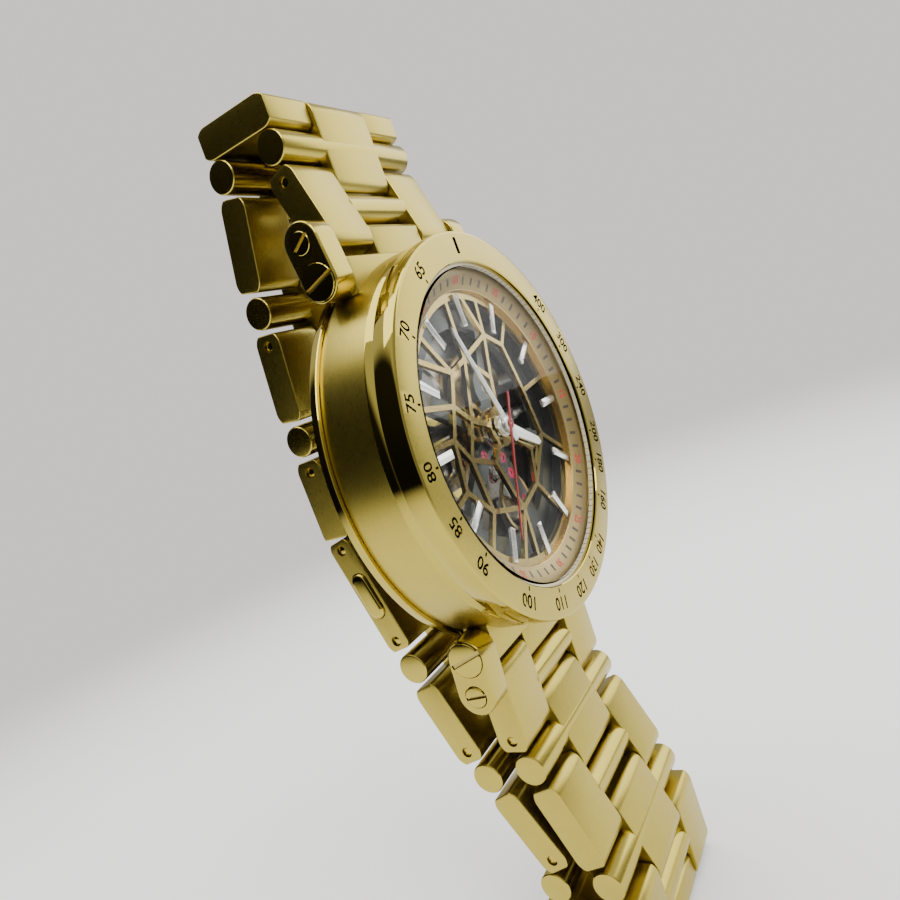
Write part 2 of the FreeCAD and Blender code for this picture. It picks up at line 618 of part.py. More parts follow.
def balance_wheel():
    low, high = -7.1, -6.8
    rim = ring(BALANCE_RADIUS - 0.4, BALANCE_RADIUS, low, high, BALANCE_AT)
    pieces = [rim, disc(0.5, low, high, BALANCE_AT)]
    for arm in range(3):
        x, y = polar(BALANCE_RADIUS - 0.2, 30.0 + 120.0 * arm)
        pieces.append(bar(BALANCE_AT, (BALANCE_AT[0] + x, BALANCE_AT[1] + y), 0.35, low, high))
    pieces.append(disc(PIVOT_RADIUS, -8.85, PLATE_TOP - 0.1, BALANCE_AT))
    pieces.append(ring(PIVOT_RADIUS, 0.35, -7.9, low, BALANCE_AT))
    return joined(pieces)


def hairspring():
    collet = ring(0.35, 0.5, -7.9, -7.7, BALANCE_AT)
    return joined([collet, spiral(0.45, 2.1, 7.0, 0.05, -7.85, -7.75, BALANCE_AT)])


def rotor():
    """Half-disc winding weight on the middle post, with a thick rim."""
    half = block(-15, 15, -15, 0, -10, -9)
    web = disc(11.0, -9.6, -9.4).common(half).cut(joined([disc(1.6, -9.6, -9.4, polar(6.4, a))
                                                           for a in (-45, -90, -135)]))
    rim = ring(10.8, ROTOR_RADIUS, -9.95, -9.4).common(half)
    shape = joined([web, rim, disc(2.4, -9.6, -9.4)])
    return shape.cut(disc(1.2 + FIT, -9.6, -9.4))


# ---------------------------------------------------------------- crown
def winding_stem():
    return joined([rod(STEM_RADIUS, 9.5, 25.6, 0, STEM_HEIGHT), rod(0.75, 10.2, 11.4, 0, STEM_HEIGHT)])


def crown():
    inner_end, outer_end = CROWN_INSIDE, CROWN_INSIDE + CROWN_LENGTH
    body = rod(CROWN_RADIUS, inner_end, outer_end, 0, STEM_HEIGHT)
    body = body.cut(rod(1.7, inner_end, inner_end + 0.9, 0, STEM_HEIGHT))
    body = body.cut(rod(STEM_RADIUS + FIT, inner_end, outer_end - 1.0, 0, STEM_HEIGHT))
    grooves = []
    for flute in range(CROWN_FLUTES):
        y, z = polar(CROWN_RADIUS + 0.1, flute * 360.0 / CROWN_FLUTES)
        grooves.append(rod(0.22, inner_end, outer_end - 0.5, y, STEM_HEIGHT + z))
    return body.cut(Part.makeCompound(grooves))


# ---------------------------------------------------------------- bracelet
def flat_link(x0, x1, length=PITCH, end=LINK_END, far_end=LINK_END):
    """A flat link standing on its first pin, with blunted round ends, its pins along y."""
    half = LINK_HALF_THICKNESS
    pieces = [rod(half, x0, x1, 0, 0)]
    if length:
        pieces += [rod(half, x0, x1, length, 0), block(x0, x1, 0, length, -half, half)]
    else:
        pieces.append(block(x0, x1, 0, 3.0, -half + 0.2, half - 0.7))
    reach = length + far_end if length else 3.0
    return joined(pieces).common(block(x0, x1, -end, reach, -half, half))


def set_link(shape, start, direction):
    """Turns a link drawn along y to its direction and puts its first pin at start (y, z)."""
    shape = shape.copy()
    shape.rotate(Vec(0, 0, 0), Vec(1, 0, 0), direction)
    shape.translate(Vec(0, start[0], start[1]))
    return shape


def outer_link(start, direction, near_hole, far_pin, near_pin, far_end=LINK_END):
    """Two outer flats joined by the round middle bar, and the pins that it holds.

    near_pin and far_pin are the pins' half lengths, or None where the link holds no pin."""
    inside = CENTRE_HALF_WIDTH + COLUMN_GAP
    flats = [flat_link(x, x + LINK_HALF_WIDTH - inside, PITCH, LINK_END, far_end)
             for x in (inside, -LINK_HALF_WIDTH)]
    shape = joined(flats + [rod(BAR_RADIUS, -inside - 0.5, inside + 0.5, PITCH / 2, 0)])
    pins = []
    near = near_pin or LINK_HALF_WIDTH
    shape = shape.cut(rod(near_hole, -near, near, 0, 0))
    if near_pin:
        pins.append(rod(PIN_RADIUS, -min(near_pin, OPEN_PIN_HALF), min(near_pin, OPEN_PIN_HALF), 0, 0))
    if far_pin:
        shape = shape.cut(rod(PIN_RADIUS, -far_pin, far_pin, PITCH, 0))
        pins.append(rod(PIN_RADIUS, -min(far_pin, OPEN_PIN_HALF), min(far_pin, OPEN_PIN_HALF), PITCH, 0))
    return [set_link(piece, start, direction) for piece in [shape] + pins]


def centre_link(start, direction):
    """A centre flat with a round bar standing out on each side."""
    flat = flat_link(-CENTRE_HALF_WIDTH, CENTRE_HALF_WIDTH)
    shape = joined([flat, rod(BAR_RADIUS, -LINK_HALF_WIDTH, LINK_HALF_WIDTH, PITCH / 2, 0)])
    for along in (0, PITCH):
        shape = shape.cut(rod(PIN_RADIUS + FIT, -CENTRE_HALF_WIDTH, CENTRE_HALF_WIDTH, along, 0))
    return set_link(shape, start, direction)


def step_from(start, direction, length=PITCH):
    y, z = polar(length, direction)
    return start[0] + y, start[1] + z


def upper_pins():
    pins = [SMALL_SCREW]
    for direction in UPPER_DIRECTIONS:
        pins.append(step_from(pins[-1], direction))
    return pins


def lower_pins():
    """The pins of the lower half from the lug to the clasp.

    The front run leaves the lug, the back run comes down from the clasp, and three links join
    them at the bottom as a symmetrical trapezium."""
    front = [(-SMALL_SCREW[0], SMALL_SCREW[1])]
    for direction in LOWER_FRONT_DIRECTIONS:
        front.append(step_from(front[-1], direction))
    back = [step_from(COVER_HINGE, COVER_DIRECTION + 180.0, COVER_LENGTH)]
    for direction in reversed(LOWER_BACK_DIRECTIONS):
        back.append(step_from(back[-1], direction + 180.0))
    above, below = front[-1], back[-1]
    base = math.dist(above, below)
    heading = math.degrees(math.atan2(below[1] - above[1], below[0] - above[0]))
    lean = math.degrees(math.asin((base - PITCH) / 2 / PITCH))
    corner_front = step_from(above, heading - 90.0 + lean)
    corner_back = step_from(below, heading - 90.0 - lean)
    return front + [corner_front, corner_back] + back[::-1]


def heading_of(start, end):
    return math.degrees(math.atan2(end[1] - start[1], end[0] - start[0]))


def upper_bracelet():
    pins = upper_pins()
    visible_near = (False, False, False, True, True)
    for number in range(len(pins) - 1):
        direction = UPPER_DIRECTIONS[number]
        name = "upper_link_%d" % (number + 1)
        if number % 2:
            save(name, centre_link(pins[number], direction))
            continue
        order = number // 2
        near = LINK_HALF_WIDTH if visible_near[order] else BLIND_PIN_HALF
        far = LINK_HALF_WIDTH if order == 0 else BLIND_PIN_HALF
        if order == 0:
            save(name, *outer_link(pins[0], direction, SMALL_SHANK + FIT, far, None))
        elif order == 4:
            save(name, *outer_link(pins[number], direction, PIN_RADIUS, None, near, 0.72))
        else:
            save(name, *outer_link(pins[number], direction, PIN_RADIUS, far, near))


def lower_bracelet():
    pins = lower_pins()
    for number in range(len(pins) - 1):
        direction = heading_of(pins[number], pins[number + 1])
        name = "lower_link_%d" % (number + 1)
        if number % 2:
            save(name, centre_link(pins[number], direction))
            continue
        order = number // 2
        near = LINK_HALF_WIDTH if order in (4, 5) else BLIND_PIN_HALF
        far = LINK_HALF_WIDTH if order == 0 else BLIND_PIN_HALF
        if order == 0:
            save(name, *outer_link(pins[0], direction, SMALL_SHANK + FIT, far, None))
        else:
            save(name, *outer_link(pins[number], direction, PIN_RADIUS, far, near))


# ---------------------------------------------------------------- clasp
# drawn along y from the cover's hinge towards the lower bracelet, with +z away from the wrist
def stadium(length, width, x0, x1, along):
    """An oval bar along x, centred at a place along the cover."""
    half = (length - width) / 2
    return joined([rod(width / 2, x0, x1, along - half, 0), rod(width / 2, x0, x1, along + half, 0),
                   block(x0, x1, along - half, along + half, -width / 2, width / 2)])


def clasp_cover():
    inside = CENTRE_HALF_WIDTH + COLUMN_GAP
    half = COVER_HALF_THICKNESS
    middle = COVER_LENGTH / 2
    rails = []
    for x in (inside, -LINK_HALF_WIDTH):
        x1 = x + LINK_HALF_WIDTH - inside
        rail = joined([rod(half, x, x1, 0, 0), rod(half, x, x1, COVER_LENGTH, 0),
                       block(x, x1, 0, COVER_LENGTH, -half, half)])
        rails.append(rail.common(block(x, x1, -COVER_TIP, COVER_LENGTH + COVER_TIP, -half, half)))
    plate = block(-inside - 0.5, inside + 0.5, 2.2, 10.0, 0.4, half)
    shape = joined(rails + [plate])
    for x0, x1 in ((7.3, LINK_HALF_WIDTH), (-LINK_HALF_WIDTH, -7.3)):
        shape = shape.cut(stadium(BUTTON_LENGTH + 0.1, BUTTON_WIDTH + 0.1, x0, x1, middle))
    pins = []
    for along in (0, COVER_LENGTH):
        shape = shape.cut(rod(PIN_RADIUS, -LINK_HALF_WIDTH, LINK_HALF_WIDTH, along, 0))
        pins.append(rod(PIN_RADIUS, -OPEN_PIN_HALF, OPEN_PIN_HALF, along, 0))
    return [shape] + pins


def clasp_button(side):
    x0, x1 = (8.2, LINK_HALF_WIDTH + 0.4) if side > 0 else (-LINK_HALF_WIDTH - 0.4, -8.2)
    return stadium(BUTTON_LENGTH, BUTTON_WIDTH, x0, x1, COVER_LENGTH / 2)


def outer_blade():
    """The blade under the cover: a wide knuckle on the cover's hinge and a narrow one at its far end."""
    w = BLADE_HALF_WIDTH
    low = -OUTER_BLADE_OFFSET - BLADE_THICKNESS
    plate = block(-w, w, -CLASP_KNUCKLE, BLADE_HINGE_ALONG - 1.0, low, -OUTER_BLADE_OFFSET)
    ear = block(-w, w, -CLASP_KNUCKLE, CLASP_KNUCKLE, low, 0)
    tongue = block(-2.3, 2.3, BLADE_HINGE_ALONG - 1.2, BLADE_HINGE_ALONG, low, -OUTER_BLADE_OFFSET)
    knuckle = rod(BLADE_KNUCKLE, -2.3, 2.3, BLADE_HINGE_ALONG, -BLADE_HINGE_OFFSET)
    shape = joined([plate, ear, rod(CLASP_KNUCKLE, -w, w, 0, 0), tongue, knuckle])
    shape = shape.cut(rod(PIN_RADIUS + FIT, -w, w, 0, 0))
    return shape.cut(rod(0.4, -2.3, 2.3, BLADE_HINGE_ALONG, -BLADE_HINGE_OFFSET))


def upper_pin_on_cover():
    """The last pin of the upper bracelet, measured along and away from the cover."""
    end = upper_pins()[-1]
    y, z = end[0] - COVER_HINGE[0], end[1] - COVER_HINGE[1]
    c, s = polar(1.0, COVER_DIRECTION + 180.0)
    return y * c + z * s, z * c - y * s


def inner_blade():
    """The blade on the wrist: hinged to the outer blade, with a hook that holds the upper bracelet."""
    w = BLADE_HALF_WIDTH
    low = -INNER_BLADE_OFFSET - BLADE_THICKNESS
    along, offset = BLADE_HINGE_ALONG, BLADE_HINGE_OFFSET
    hook_y, hook_z = upper_pin_on_cover()
    pieces = [block(-w, w, hook_y - CLASP_KNUCKLE, along - 1.0, low, -INNER_BLADE_OFFSET)]
    for x0 in (2.5, -w):
        x1 = x0 + w - 2.5
        pieces.append(block(x0, x1, along - 1.2, along, low, -INNER_BLADE_OFFSET))
        pieces.append(rod(BLADE_KNUCKLE, x0, x1, along, -offset))
    pieces.append(block(-w, w, hook_y - CLASP_KNUCKLE, hook_y + CLASP_KNUCKLE, low, hook_z))
    pieces.append(rod(CLASP_KNUCKLE, -w, w, hook_y, hook_z))
    blade = joined(pieces).cut(rod(PIN_RADIUS, -w, w, hook_y, hook_z)).cut(rod(0.35, -w, w, along, -offset))
    return blade, rod(PIN_RADIUS, -w, w, hook_y, hook_z), rod(0.35, -w, w, along, -offset)


def clasp():
    direction = COVER_DIRECTION + 180.0
    def put(*shapes):
        return [set_link(shape, COVER_HINGE, direction - 360.0) for shape in shapes]
    save("clasp_cover", *put(*clasp_cover()))
    save("clasp_button_left", *put(clasp_button(-1)))
    save("clasp_button_right", *put(clasp_button(1)))
    save("clasp_blade_outer", *put(outer_blade()))
    save("clasp_blade_inner", *put(*inner_blade()))


def build():
    os.makedirs("parts", exist_ok=True)
    save("case_middle", case_middle())
    save("bezel", bezel())
    save("crystal", crystal())
    save("gaskets", *gaskets())
    save("minute_flange", minute_flange())
    save("case_back", case_back())
    save("case_back_window", window())
    save("lug_bars", *lug_bars())
    save("lug_screws", *lug_screws())
    save("skeleton_dial", skeleton_dial())
    save("hour_indices", *hour_indices())
    save("hour_hand", *hour_hand())
    save("minute_hand", *minute_hand())
    save("seconds_hand", seconds_hand())
    save("minute_wheel", minute_wheel())
    save("movement_ring", movement_ring())
    save("main_plate", main_plate())
    save("jewels", *jewels())
    save("barrel_bridge", barrel_bridge())
    save("train_bridge", train_bridge())
    save("balance_cock", balance_cock())
    save("case_screws", *case_screws())
    save("barrel", *barrel())
    save("ratchet_wheel", ratchet_wheel())
    save("center_wheel", center_wheel())
    save("third_wheel", third_wheel())
    save("fourth_wheel", fourth_wheel())
    save("escape_wheel", escape_wheel())
    save("pallet_fork", pallet_fork())
    save("balance_wheel", balance_wheel())
    save("hairspring", hairspring())
    save("rotor", rotor())
    save("winding_stem", winding_stem())
    save("crown", crown())
    upper_bracelet()
    lower_bracelet()
    clasp()


build()
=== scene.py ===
import bpy
import json
import math
from mathutils import Matrix, Vector


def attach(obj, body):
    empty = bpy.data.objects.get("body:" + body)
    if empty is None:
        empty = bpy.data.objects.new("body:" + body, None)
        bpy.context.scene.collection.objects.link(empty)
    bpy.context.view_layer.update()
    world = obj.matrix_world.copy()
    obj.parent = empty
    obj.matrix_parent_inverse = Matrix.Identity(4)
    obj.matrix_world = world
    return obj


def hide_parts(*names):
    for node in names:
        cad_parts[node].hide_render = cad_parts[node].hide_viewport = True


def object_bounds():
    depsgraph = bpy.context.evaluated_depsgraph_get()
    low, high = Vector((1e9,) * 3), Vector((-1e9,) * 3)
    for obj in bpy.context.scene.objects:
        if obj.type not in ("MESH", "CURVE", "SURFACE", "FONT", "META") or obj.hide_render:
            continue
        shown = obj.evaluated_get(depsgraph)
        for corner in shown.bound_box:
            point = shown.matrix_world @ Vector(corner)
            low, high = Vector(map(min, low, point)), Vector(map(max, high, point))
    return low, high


# Looks for the skeleton wristwatch. Pieces are drawn in the watch's own directions, in millimetres:
# x towards 3 o'clock, y towards 12 o'clock, z out of the dial, z = 0 on top of the bezel.
# WATCH turns them into the row frame.

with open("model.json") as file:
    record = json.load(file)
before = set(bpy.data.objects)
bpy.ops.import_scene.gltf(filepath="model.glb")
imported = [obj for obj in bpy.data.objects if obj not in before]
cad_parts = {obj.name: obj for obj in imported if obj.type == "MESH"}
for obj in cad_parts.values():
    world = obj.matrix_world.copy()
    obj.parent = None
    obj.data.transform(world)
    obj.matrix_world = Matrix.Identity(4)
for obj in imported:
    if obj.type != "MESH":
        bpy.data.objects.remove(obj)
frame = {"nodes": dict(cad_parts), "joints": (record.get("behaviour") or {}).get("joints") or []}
BOX_AT_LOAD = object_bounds()
MM = 0.001
CASE_HEIGHT = 11.0
WATCH = Matrix.Translation((0, -0.011, 0)) @ Matrix.Rotation(math.radians(90), 4, "X")
CASE = "case"
FINE_GRAIN = 26000.0
GRAIN_DEPTH = 0.00001
COAT_DEPTH = 0.00002
STEEL = "gold_steel"
SMOOTH_BELOW = math.radians(28)


# ---------------------------------------------------------------- materials
def node(tree, kind, inputs=None, **settings):
    n = tree.nodes.new(kind)
    for key, value in settings.items():
        setattr(n, key, value)
    for key, value in (inputs or {}).items():
        if hasattr(value, "is_output"):
            tree.links.new(value, n.inputs[key])
        else:
            n.inputs[key].default_value = value
    return n


def new_material(name):
    mat = bpy.data.materials.new(name)
    mat.use_nodes = True
    mat.node_tree.nodes.clear()
    return mat, mat.node_tree


def grain_vector(tree, grain, coarse):
    """A texture vector in object space, squeezed so that noise runs along the grain's direction."""
    fine = FINE_GRAIN
    place = node(tree, "ShaderNodeTexCoord").outputs["Object"]
    if grain == "ring":
        parts = node(tree, "ShaderNodeSeparateXYZ", {0: place})
        angle = node(tree, "ShaderNodeMath", {0: parts.outputs[1], 1: parts.outputs[0]},
                     operation="ARCTAN2")
        flat = node(tree, "ShaderNodeCombineXYZ", {0: parts.outputs[0], 1: parts.outputs[1]})
        radius = node(tree, "ShaderNodeVectorMath", {0: flat.outputs[0]}, operation="LENGTH")
        r = node(tree, "ShaderNodeMath", {0: radius.outputs["Value"], 1: fine}, operation="MULTIPLY")
        a = node(tree, "ShaderNodeMath", {0: angle.outputs[0], 1: coarse * 0.02}, operation="MULTIPLY")
        z = node(tree, "ShaderNodeMath", {0: parts.outputs[2], 1: fine}, operation="MULTIPLY")
        turned = node(tree, "ShaderNodeCombineXYZ", {0: r.outputs[0], 1: a.outputs[0], 2: z.outputs[0]})
        return turned.outputs[0]
    scale = {"x": (coarse, fine, fine), "y": (fine, coarse, fine), "z": (fine, fine, coarse),
             "none": (coarse, coarse, coarse)}[grain]
    return node(tree, "ShaderNodeVectorMath", {0: place, 1: scale}, operation="MULTIPLY").outputs[0]


def metal(name, color, rough, grain="none", spread=0.05, bump=0.2, shade=0.06, coarse=1500.0):
    """A metal whose roughness, tint and relief follow a noise stretched along the grain."""
    mat, tree = new_material(name)
    vector = grain_vector(tree, grain, coarse)
    noise = node(tree, "ShaderNodeTexNoise", {"Vector": vector, "Scale": 1.0, "Detail": 3.0,
                                              "Roughness": 0.55})
    cloud_at = node(tree, "ShaderNodeTexCoord").outputs["Object"]
    cloud = node(tree, "ShaderNodeTexNoise", {"Vector": cloud_at, "Scale": 160.0, "Detail": 2.0})
    rough_node = node(tree, "ShaderNodeMapRange", {0: noise.outputs[0], 1: 0.25, 2: 0.75,
                                                   3: max(rough - spread, 0.02), 4: rough + spread})
    low = tuple(c * (1 - shade) for c in color)
    tint = node(tree, "ShaderNodeMix", {"Factor": noise.outputs[0]}, data_type="RGBA")
    tint.inputs[6].default_value = (*low, 1)
    tint.inputs[7].default_value = (*color, 1)
    stain = node(tree, "ShaderNodeMapRange", {0: cloud.outputs[0], 1: 0.3, 2: 0.7, 3: 0.96, 4: 1.02})
    final = node(tree, "ShaderNodeVectorMath", {0: tint.outputs[2]}, operation="SCALE")
    tree.links.new(stain.outputs[0], final.inputs["Scale"])
    relief = node(tree, "ShaderNodeBump", {"Strength": bump, "Distance": GRAIN_DEPTH,
                                           "Height": noise.outputs[0]})
    shader = node(tree, "ShaderNodeBsdfPrincipled", {"Base Color": final.outputs[0], "Metallic": 1.0,
                                                     "Roughness": rough_node.outputs[0],
                                                     "Normal": relief.outputs[0]})
    out = node(tree, "ShaderNodeOutputMaterial")
    tree.links.new(shader.outputs[0], out.inputs[0])
    return mat


def coated(name, color, rough, coat=0.0, transmission=0.0):
    """Lacquer, ink, seals and jewels: a tint broken up by noise."""
    shade, scale, bump = 0.2, 900.0, 0.1
    mat, tree = new_material(name)
    place = node(tree, "ShaderNodeTexCoord").outputs["Object"]
    noise = node(tree, "ShaderNodeTexNoise", {"Vector": place, "Scale": scale, "Detail": 4.0})
    tint = node(tree, "ShaderNodeMix", {"Factor": noise.outputs[0]}, data_type="RGBA")
    tint.inputs[6].default_value = (*[c * (1 - shade) for c in color], 1)
    tint.inputs[7].default_value = (*color, 1)
    rough_node = node(tree, "ShaderNodeMapRange", {0: noise.outputs[0], 3: rough * 0.8, 4: rough * 1.2})
    relief = node(tree, "ShaderNodeBump", {"Strength": bump, "Distance": COAT_DEPTH,
                                           "Height": noise.outputs[0]})
    shader = node(tree, "ShaderNodeBsdfPrincipled", {"Base Color": tint.outputs[2], "Coat Weight": coat,
                                                     "Roughness": rough_node.outputs[0],
                                                     "Transmission Weight": transmission,
                                                     "Normal": relief.outputs[0]})
    out = node(tree, "ShaderNodeOutputMaterial")
    tree.links.new(shader.outputs[0], out.inputs[0])
    return mat


def sapphire(name, ior, gloss):
    """Coated clear crystal: it refracts what is seen through it, and light and shadow rays pass."""
    mat, tree = new_material(name)
    place = node(tree, "ShaderNodeTexCoord").outputs["Object"]
    noise = node(tree, "ShaderNodeTexNoise", {"Vector": place, "Scale": 120.0, "Detail": 2.0})
    rough = node(tree, "ShaderNodeMapRange", {0: noise.outputs[0], 3: 0.0, 4: 0.01})
    bent = node(tree, "ShaderNodeBsdfRefraction", {"Color": (0.985, 0.99, 0.985, 1), "IOR": ior,
                                                   "Roughness": rough.outputs[0]})
    shine = node(tree, "ShaderNodeBsdfGlossy", {"Color": (1, 1, 1, 1), "Roughness": rough.outputs[0]})
    coat = node(tree, "ShaderNodeMixShader", {0: gloss, 1: bent.outputs[0], 2: shine.outputs[0]})
    clear = node(tree, "ShaderNodeBsdfTransparent", {0: (0.97, 0.975, 0.97, 1)})
    path = node(tree, "ShaderNodeLightPath")
    light = node(tree, "ShaderNodeMath", {0: path.outputs["Is Shadow Ray"],
                                          1: path.outputs["Is Diffuse Ray"]}, operation="MAXIMUM")
    both = node(tree, "ShaderNodeMixShader", {0: light.outputs[0], 1: coat.outputs[0],
                                              2: clear.outputs[0]})
    out = node(tree, "ShaderNodeOutputMaterial")
    tree.links.new(both.outputs[0], out.inputs[0])
    return mat


GOLD = (0.47, 0.375, 0.07)
M = {
    "ring": metal("gold_ring_grain", GOLD, 0.30, "ring"),
    "along": metal("gold_long_grain", GOLD, 0.30, "y"),
    "across": metal("gold_cross_grain", GOLD, 0.22, "x"),
    "polish": metal("gold_polished", GOLD, 0.05, spread=0.02, bump=0.02, shade=0.04, coarse=4000.0),
    "side": metal("gold_side_grain", GOLD, 0.20, "y", spread=0.06, bump=0.15),
    "engraved": metal("gold_engraved", (0.50, 0.40, 0.11), 0.35, spread=0.1, coarse=20000.0),
    "dial_gold": metal("dial_beige_gold", (0.40, 0.30, 0.12), 0.45, "ring", spread=0.08, bump=0.15),
    "rose": metal("dial_rose_gold", (0.50, 0.36, 0.14), 0.22, spread=0.08, coarse=9000.0),
    "web": metal("dial_web_gold", (0.42, 0.31, 0.10), 0.16, spread=0.1, bump=0.6, coarse=3000.0),
    "silver": metal("polished_steel", (0.93, 0.93, 0.91), 0.24, bump=0.05, shade=0.05),
    "hand": metal("hand_silver", (0.97, 0.97, 0.95), 0.42, spread=0.06, bump=0.05, shade=0.04),
    "nickel": metal("grained_nickel", (0.55, 0.54, 0.52), 0.30, "x"),
    "plate": metal("dark_plate", (0.13, 0.14, 0.135), 0.36, spread=0.12, coarse=6000.0),
    "holder": metal("dark_holder", (0.08, 0.08, 0.075), 0.45, "ring", spread=0.1),
    "brass": metal("gilt_brass", (0.72, 0.53, 0.24), 0.26, "ring", spread=0.08),
    "red": coated("red_lacquer", (0.26, 0.008, 0.008), 0.3, coat=0.5),
    "ink": coated("dark_ink", (0.06, 0.042, 0.03), 0.5),
    "red_ink": coated("red_ink", (0.50, 0.03, 0.02), 0.5),
    "seal": coated("pale_seal", (0.62, 0.56, 0.40), 0.5),
    "ruby": coated("ruby_jewel", (0.60, 0.03, 0.12), 0.08, coat=1.0, transmission=0.3),
    "glass": sapphire("front_sapphire", 1.62, 0.014),
    "back_glass": sapphire("back_sapphire", 1.5, 0.06),
}


# ---------------------------------------------------------------- mesh tools
def mesh_object(name, points, faces, materials, which=None, matrix=WATCH):
    mesh = bpy.data.meshes.new(name)
    mesh.from_pydata([Vector(p) * MM for p in points], [], faces)
    for key in materials:
        mesh.materials.append(M[key])
    if which:
        for polygon, index in zip(mesh.polygons, which):
            polygon.material_index = index
    obj = bpy.data.objects.new(name, mesh)
    bpy.context.scene.collection.objects.link(obj)
    obj.matrix_world = matrix
    return obj


def bake(obj):
    """Applies the modifiers and shades smooth except across sharp edges."""
    bpy.context.view_layer.update()
    graph = bpy.context.evaluated_depsgraph_get()
    mesh = bpy.data.meshes.new_from_object(obj.evaluated_get(graph))
    obj.modifiers.clear()
    obj.data = mesh
    mesh.shade_smooth()
    mesh.set_sharp_from_angle(angle=SMOOTH_BELOW)
    return obj


def bevel(obj, width, segments=3, angle=38):
    mod = obj.modifiers.new("bevel", "BEVEL")
    mod.width = width * MM
    mod.segments = segments
    mod.limit_method = "ANGLE"
    mod.angle_limit = math.radians(angle)
    return obj


def carve(obj, cutters):
    """Cuts the cutters out of obj. Cut faces keep the cutter's material."""
    for cutter in cutters:
        mod = obj.modifiers.new("cut", "BOOLEAN")
        mod.operation = "DIFFERENCE"
        mod.solver = "EXACT"
        mod.object = cutter
    bake(obj)
    for cutter in cutters:
        bpy.data.objects.remove(cutter)
    return obj


def merge(name, objects):
    """Joins objects into one, keeping their places and materials."""
    first = objects[0]
    with bpy.context.temp_override(active_object=first, selected_editable_objects=objects):
        bpy.ops.object.join()
    first.name = name
    return first


def wear(obj, body, slot, *nodes):
    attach(obj, body)
    if nodes:
        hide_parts(*nodes)
    return obj


def lathe(name, profile, materials, which=None, steps=192):
    """Turns a closed (radius, height) profile round the z axis."""
    points = []
    faces = []
    marks = []
    count = len(profile)
    for step in range(steps):
        c, s = math.cos(2 * math.pi * step / steps), math.sin(2 * math.pi * step / steps)
        points += [(r * c, r * s, z) for r, z in profile]
    for step in range(steps):
        here, there = step * count, (step + 1) % steps * count
        for k in range(count):
            n = (k + 1) % count
            if profile[k][0] == 0 and profile[n][0] == 0:
                continue
            faces.append((here + k, there + k, there + n, here + n))
            marks.append(which[k] if which else 0)
    obj = mesh_object(name, points, faces, materials, marks)
    clean = obj.modifiers.new("weld", "WELD")
    clean.merge_threshold = 1e-7
    return obj


def prism(name, outline, low, high, materials, axis="z", matrix=WATCH):
    """A plate with a polygon outline, standing along z (outline in x, y) or x (outline in y, z)."""
    n = len(outline)
    if axis == "z":
        points = [(a, b, low) for a, b in outline] + [(a, b, high) for a, b in outline]
    else:
        points = [(low, a, b) for a, b in outline] + [(high, a, b) for a, b in outline]
    faces = [tuple(range(n))[::-1], tuple(range(n, 2 * n))]
    faces += [(k, (k + 1) % n, (k + 1) % n + n, k + n) for k in range(n)]
    return mesh_object(name, points, faces, materials, None, matrix)


def drum(name, radius, low, high, materials, axis="x", at=(0, 0), steps=48, matrix=WATCH):
    outline = [(at[0] + radius * math.cos(2 * math.pi * k / steps),
                at[1] + radius * math.sin(2 * math.pi * k / steps)) for k in range(steps)]
    return prism(name, outline, low, high, materials, axis, matrix)


def clock(radius, degrees):
    a = math.radians(90 - degrees)
    return radius * math.cos(a), radius * math.sin(a)


def arc(cx, cy, radius, start, end, steps):
    angles = [math.radians(start + (end - start) * k / steps) for k in range(steps + 1)]
    return [(cx + radius * math.cos(a), cy + radius * math.sin(a)) for a in angles]


def lettering(name, words, size, depth, material, bold=0.0):
    """Digits as one mesh; words holds (text, placing matrix)."""
    made = []
    for text, matrix in words:
        curve = bpy.data.curves.new(name, "FONT")
        curve.body = text
        curve.size = size * MM
        curve.extrude = depth * MM
        curve.offset = bold * MM
        curve.align_x = "CENTER"
        curve.align_y = "CENTER"
        curve.resolution_u = 3
        source = bpy.data.objects.new(name, curve)
        bpy.context.scene.collection.objects.link(source)
        bpy.context.view_layer.update()
        graph = bpy.context.evaluated_depsgraph_get()
        mesh = bpy.data.meshes.new_from_object(source.evaluated_get(graph))
        bpy.data.objects.remove(source)
        mesh.materials.clear()
        mesh.materials.append(M[material])
        obj = bpy.data.objects.new(name, mesh)
        bpy.context.scene.collection.objects.link(obj)
        obj.matrix_world = WATCH @ matrix
        made.append(obj)
    bpy.context.view_layer.update()
    return merge(name, made)


def spot(x, y, z, turn=0.0, tilt=0.0):
    """A matrix for a place in millimetres: tilted about its x axis, then turned clockwise."""
    return (Matrix.Translation(Vector((x, y, z)) * MM) @ Matrix.Rotation(math.radians(-turn), 4, "Z")
            @ Matrix.Rotation(math.radians(tilt), 4, "X"))


# ---------------------------------------------------------------- case
RING_STEPS = 256
SCALE_VALUES = (65, 70, 75, 80, 85, 90, 100, 110, 120, 130, 140, 160, 180, 200, 240, 300, 400)
SCALE_RADIUS = 20.75
SCALE_DIGITS = 2.0
SCALE_BOLD = 0.035
ENGRAVING = 0.06
LINK_SEAT = 5.1
SCREW_CIRCLE = 20.9
BIG_SCREW = (20.7, -7.8)
SMALL_SCREW = (24.9, -8.2)
PLATE_END = 2.2
BACK_HOLE = 0.68
GROOVES = (15.2, 16.6)
GROOVE_WIDTH = 0.16
GROOVE_DEPTH = 0.08
# Levels behind the top of the bezel.
BEZEL_BACK = -2.5
WALL_BACK = -9.4
HORN_FRONT = -5.9
HORN_BACK = -9.3
RIM_FLOOR = -10.15
CASE_BACK = -CASE_HEIGHT
WINDOW = 13.5
# Half width of a mark, and where it begins and ends on the radius.
SPEED_TICK = (0.12, 19.2, 19.7)
NOON_BAR = (0.32, 19.8, 21.7)


def scale_turn(value):
    """Degrees from 12 o'clock at which a speed is marked: the seconds that one unit takes."""
    return 3600.0 / value * 6.0


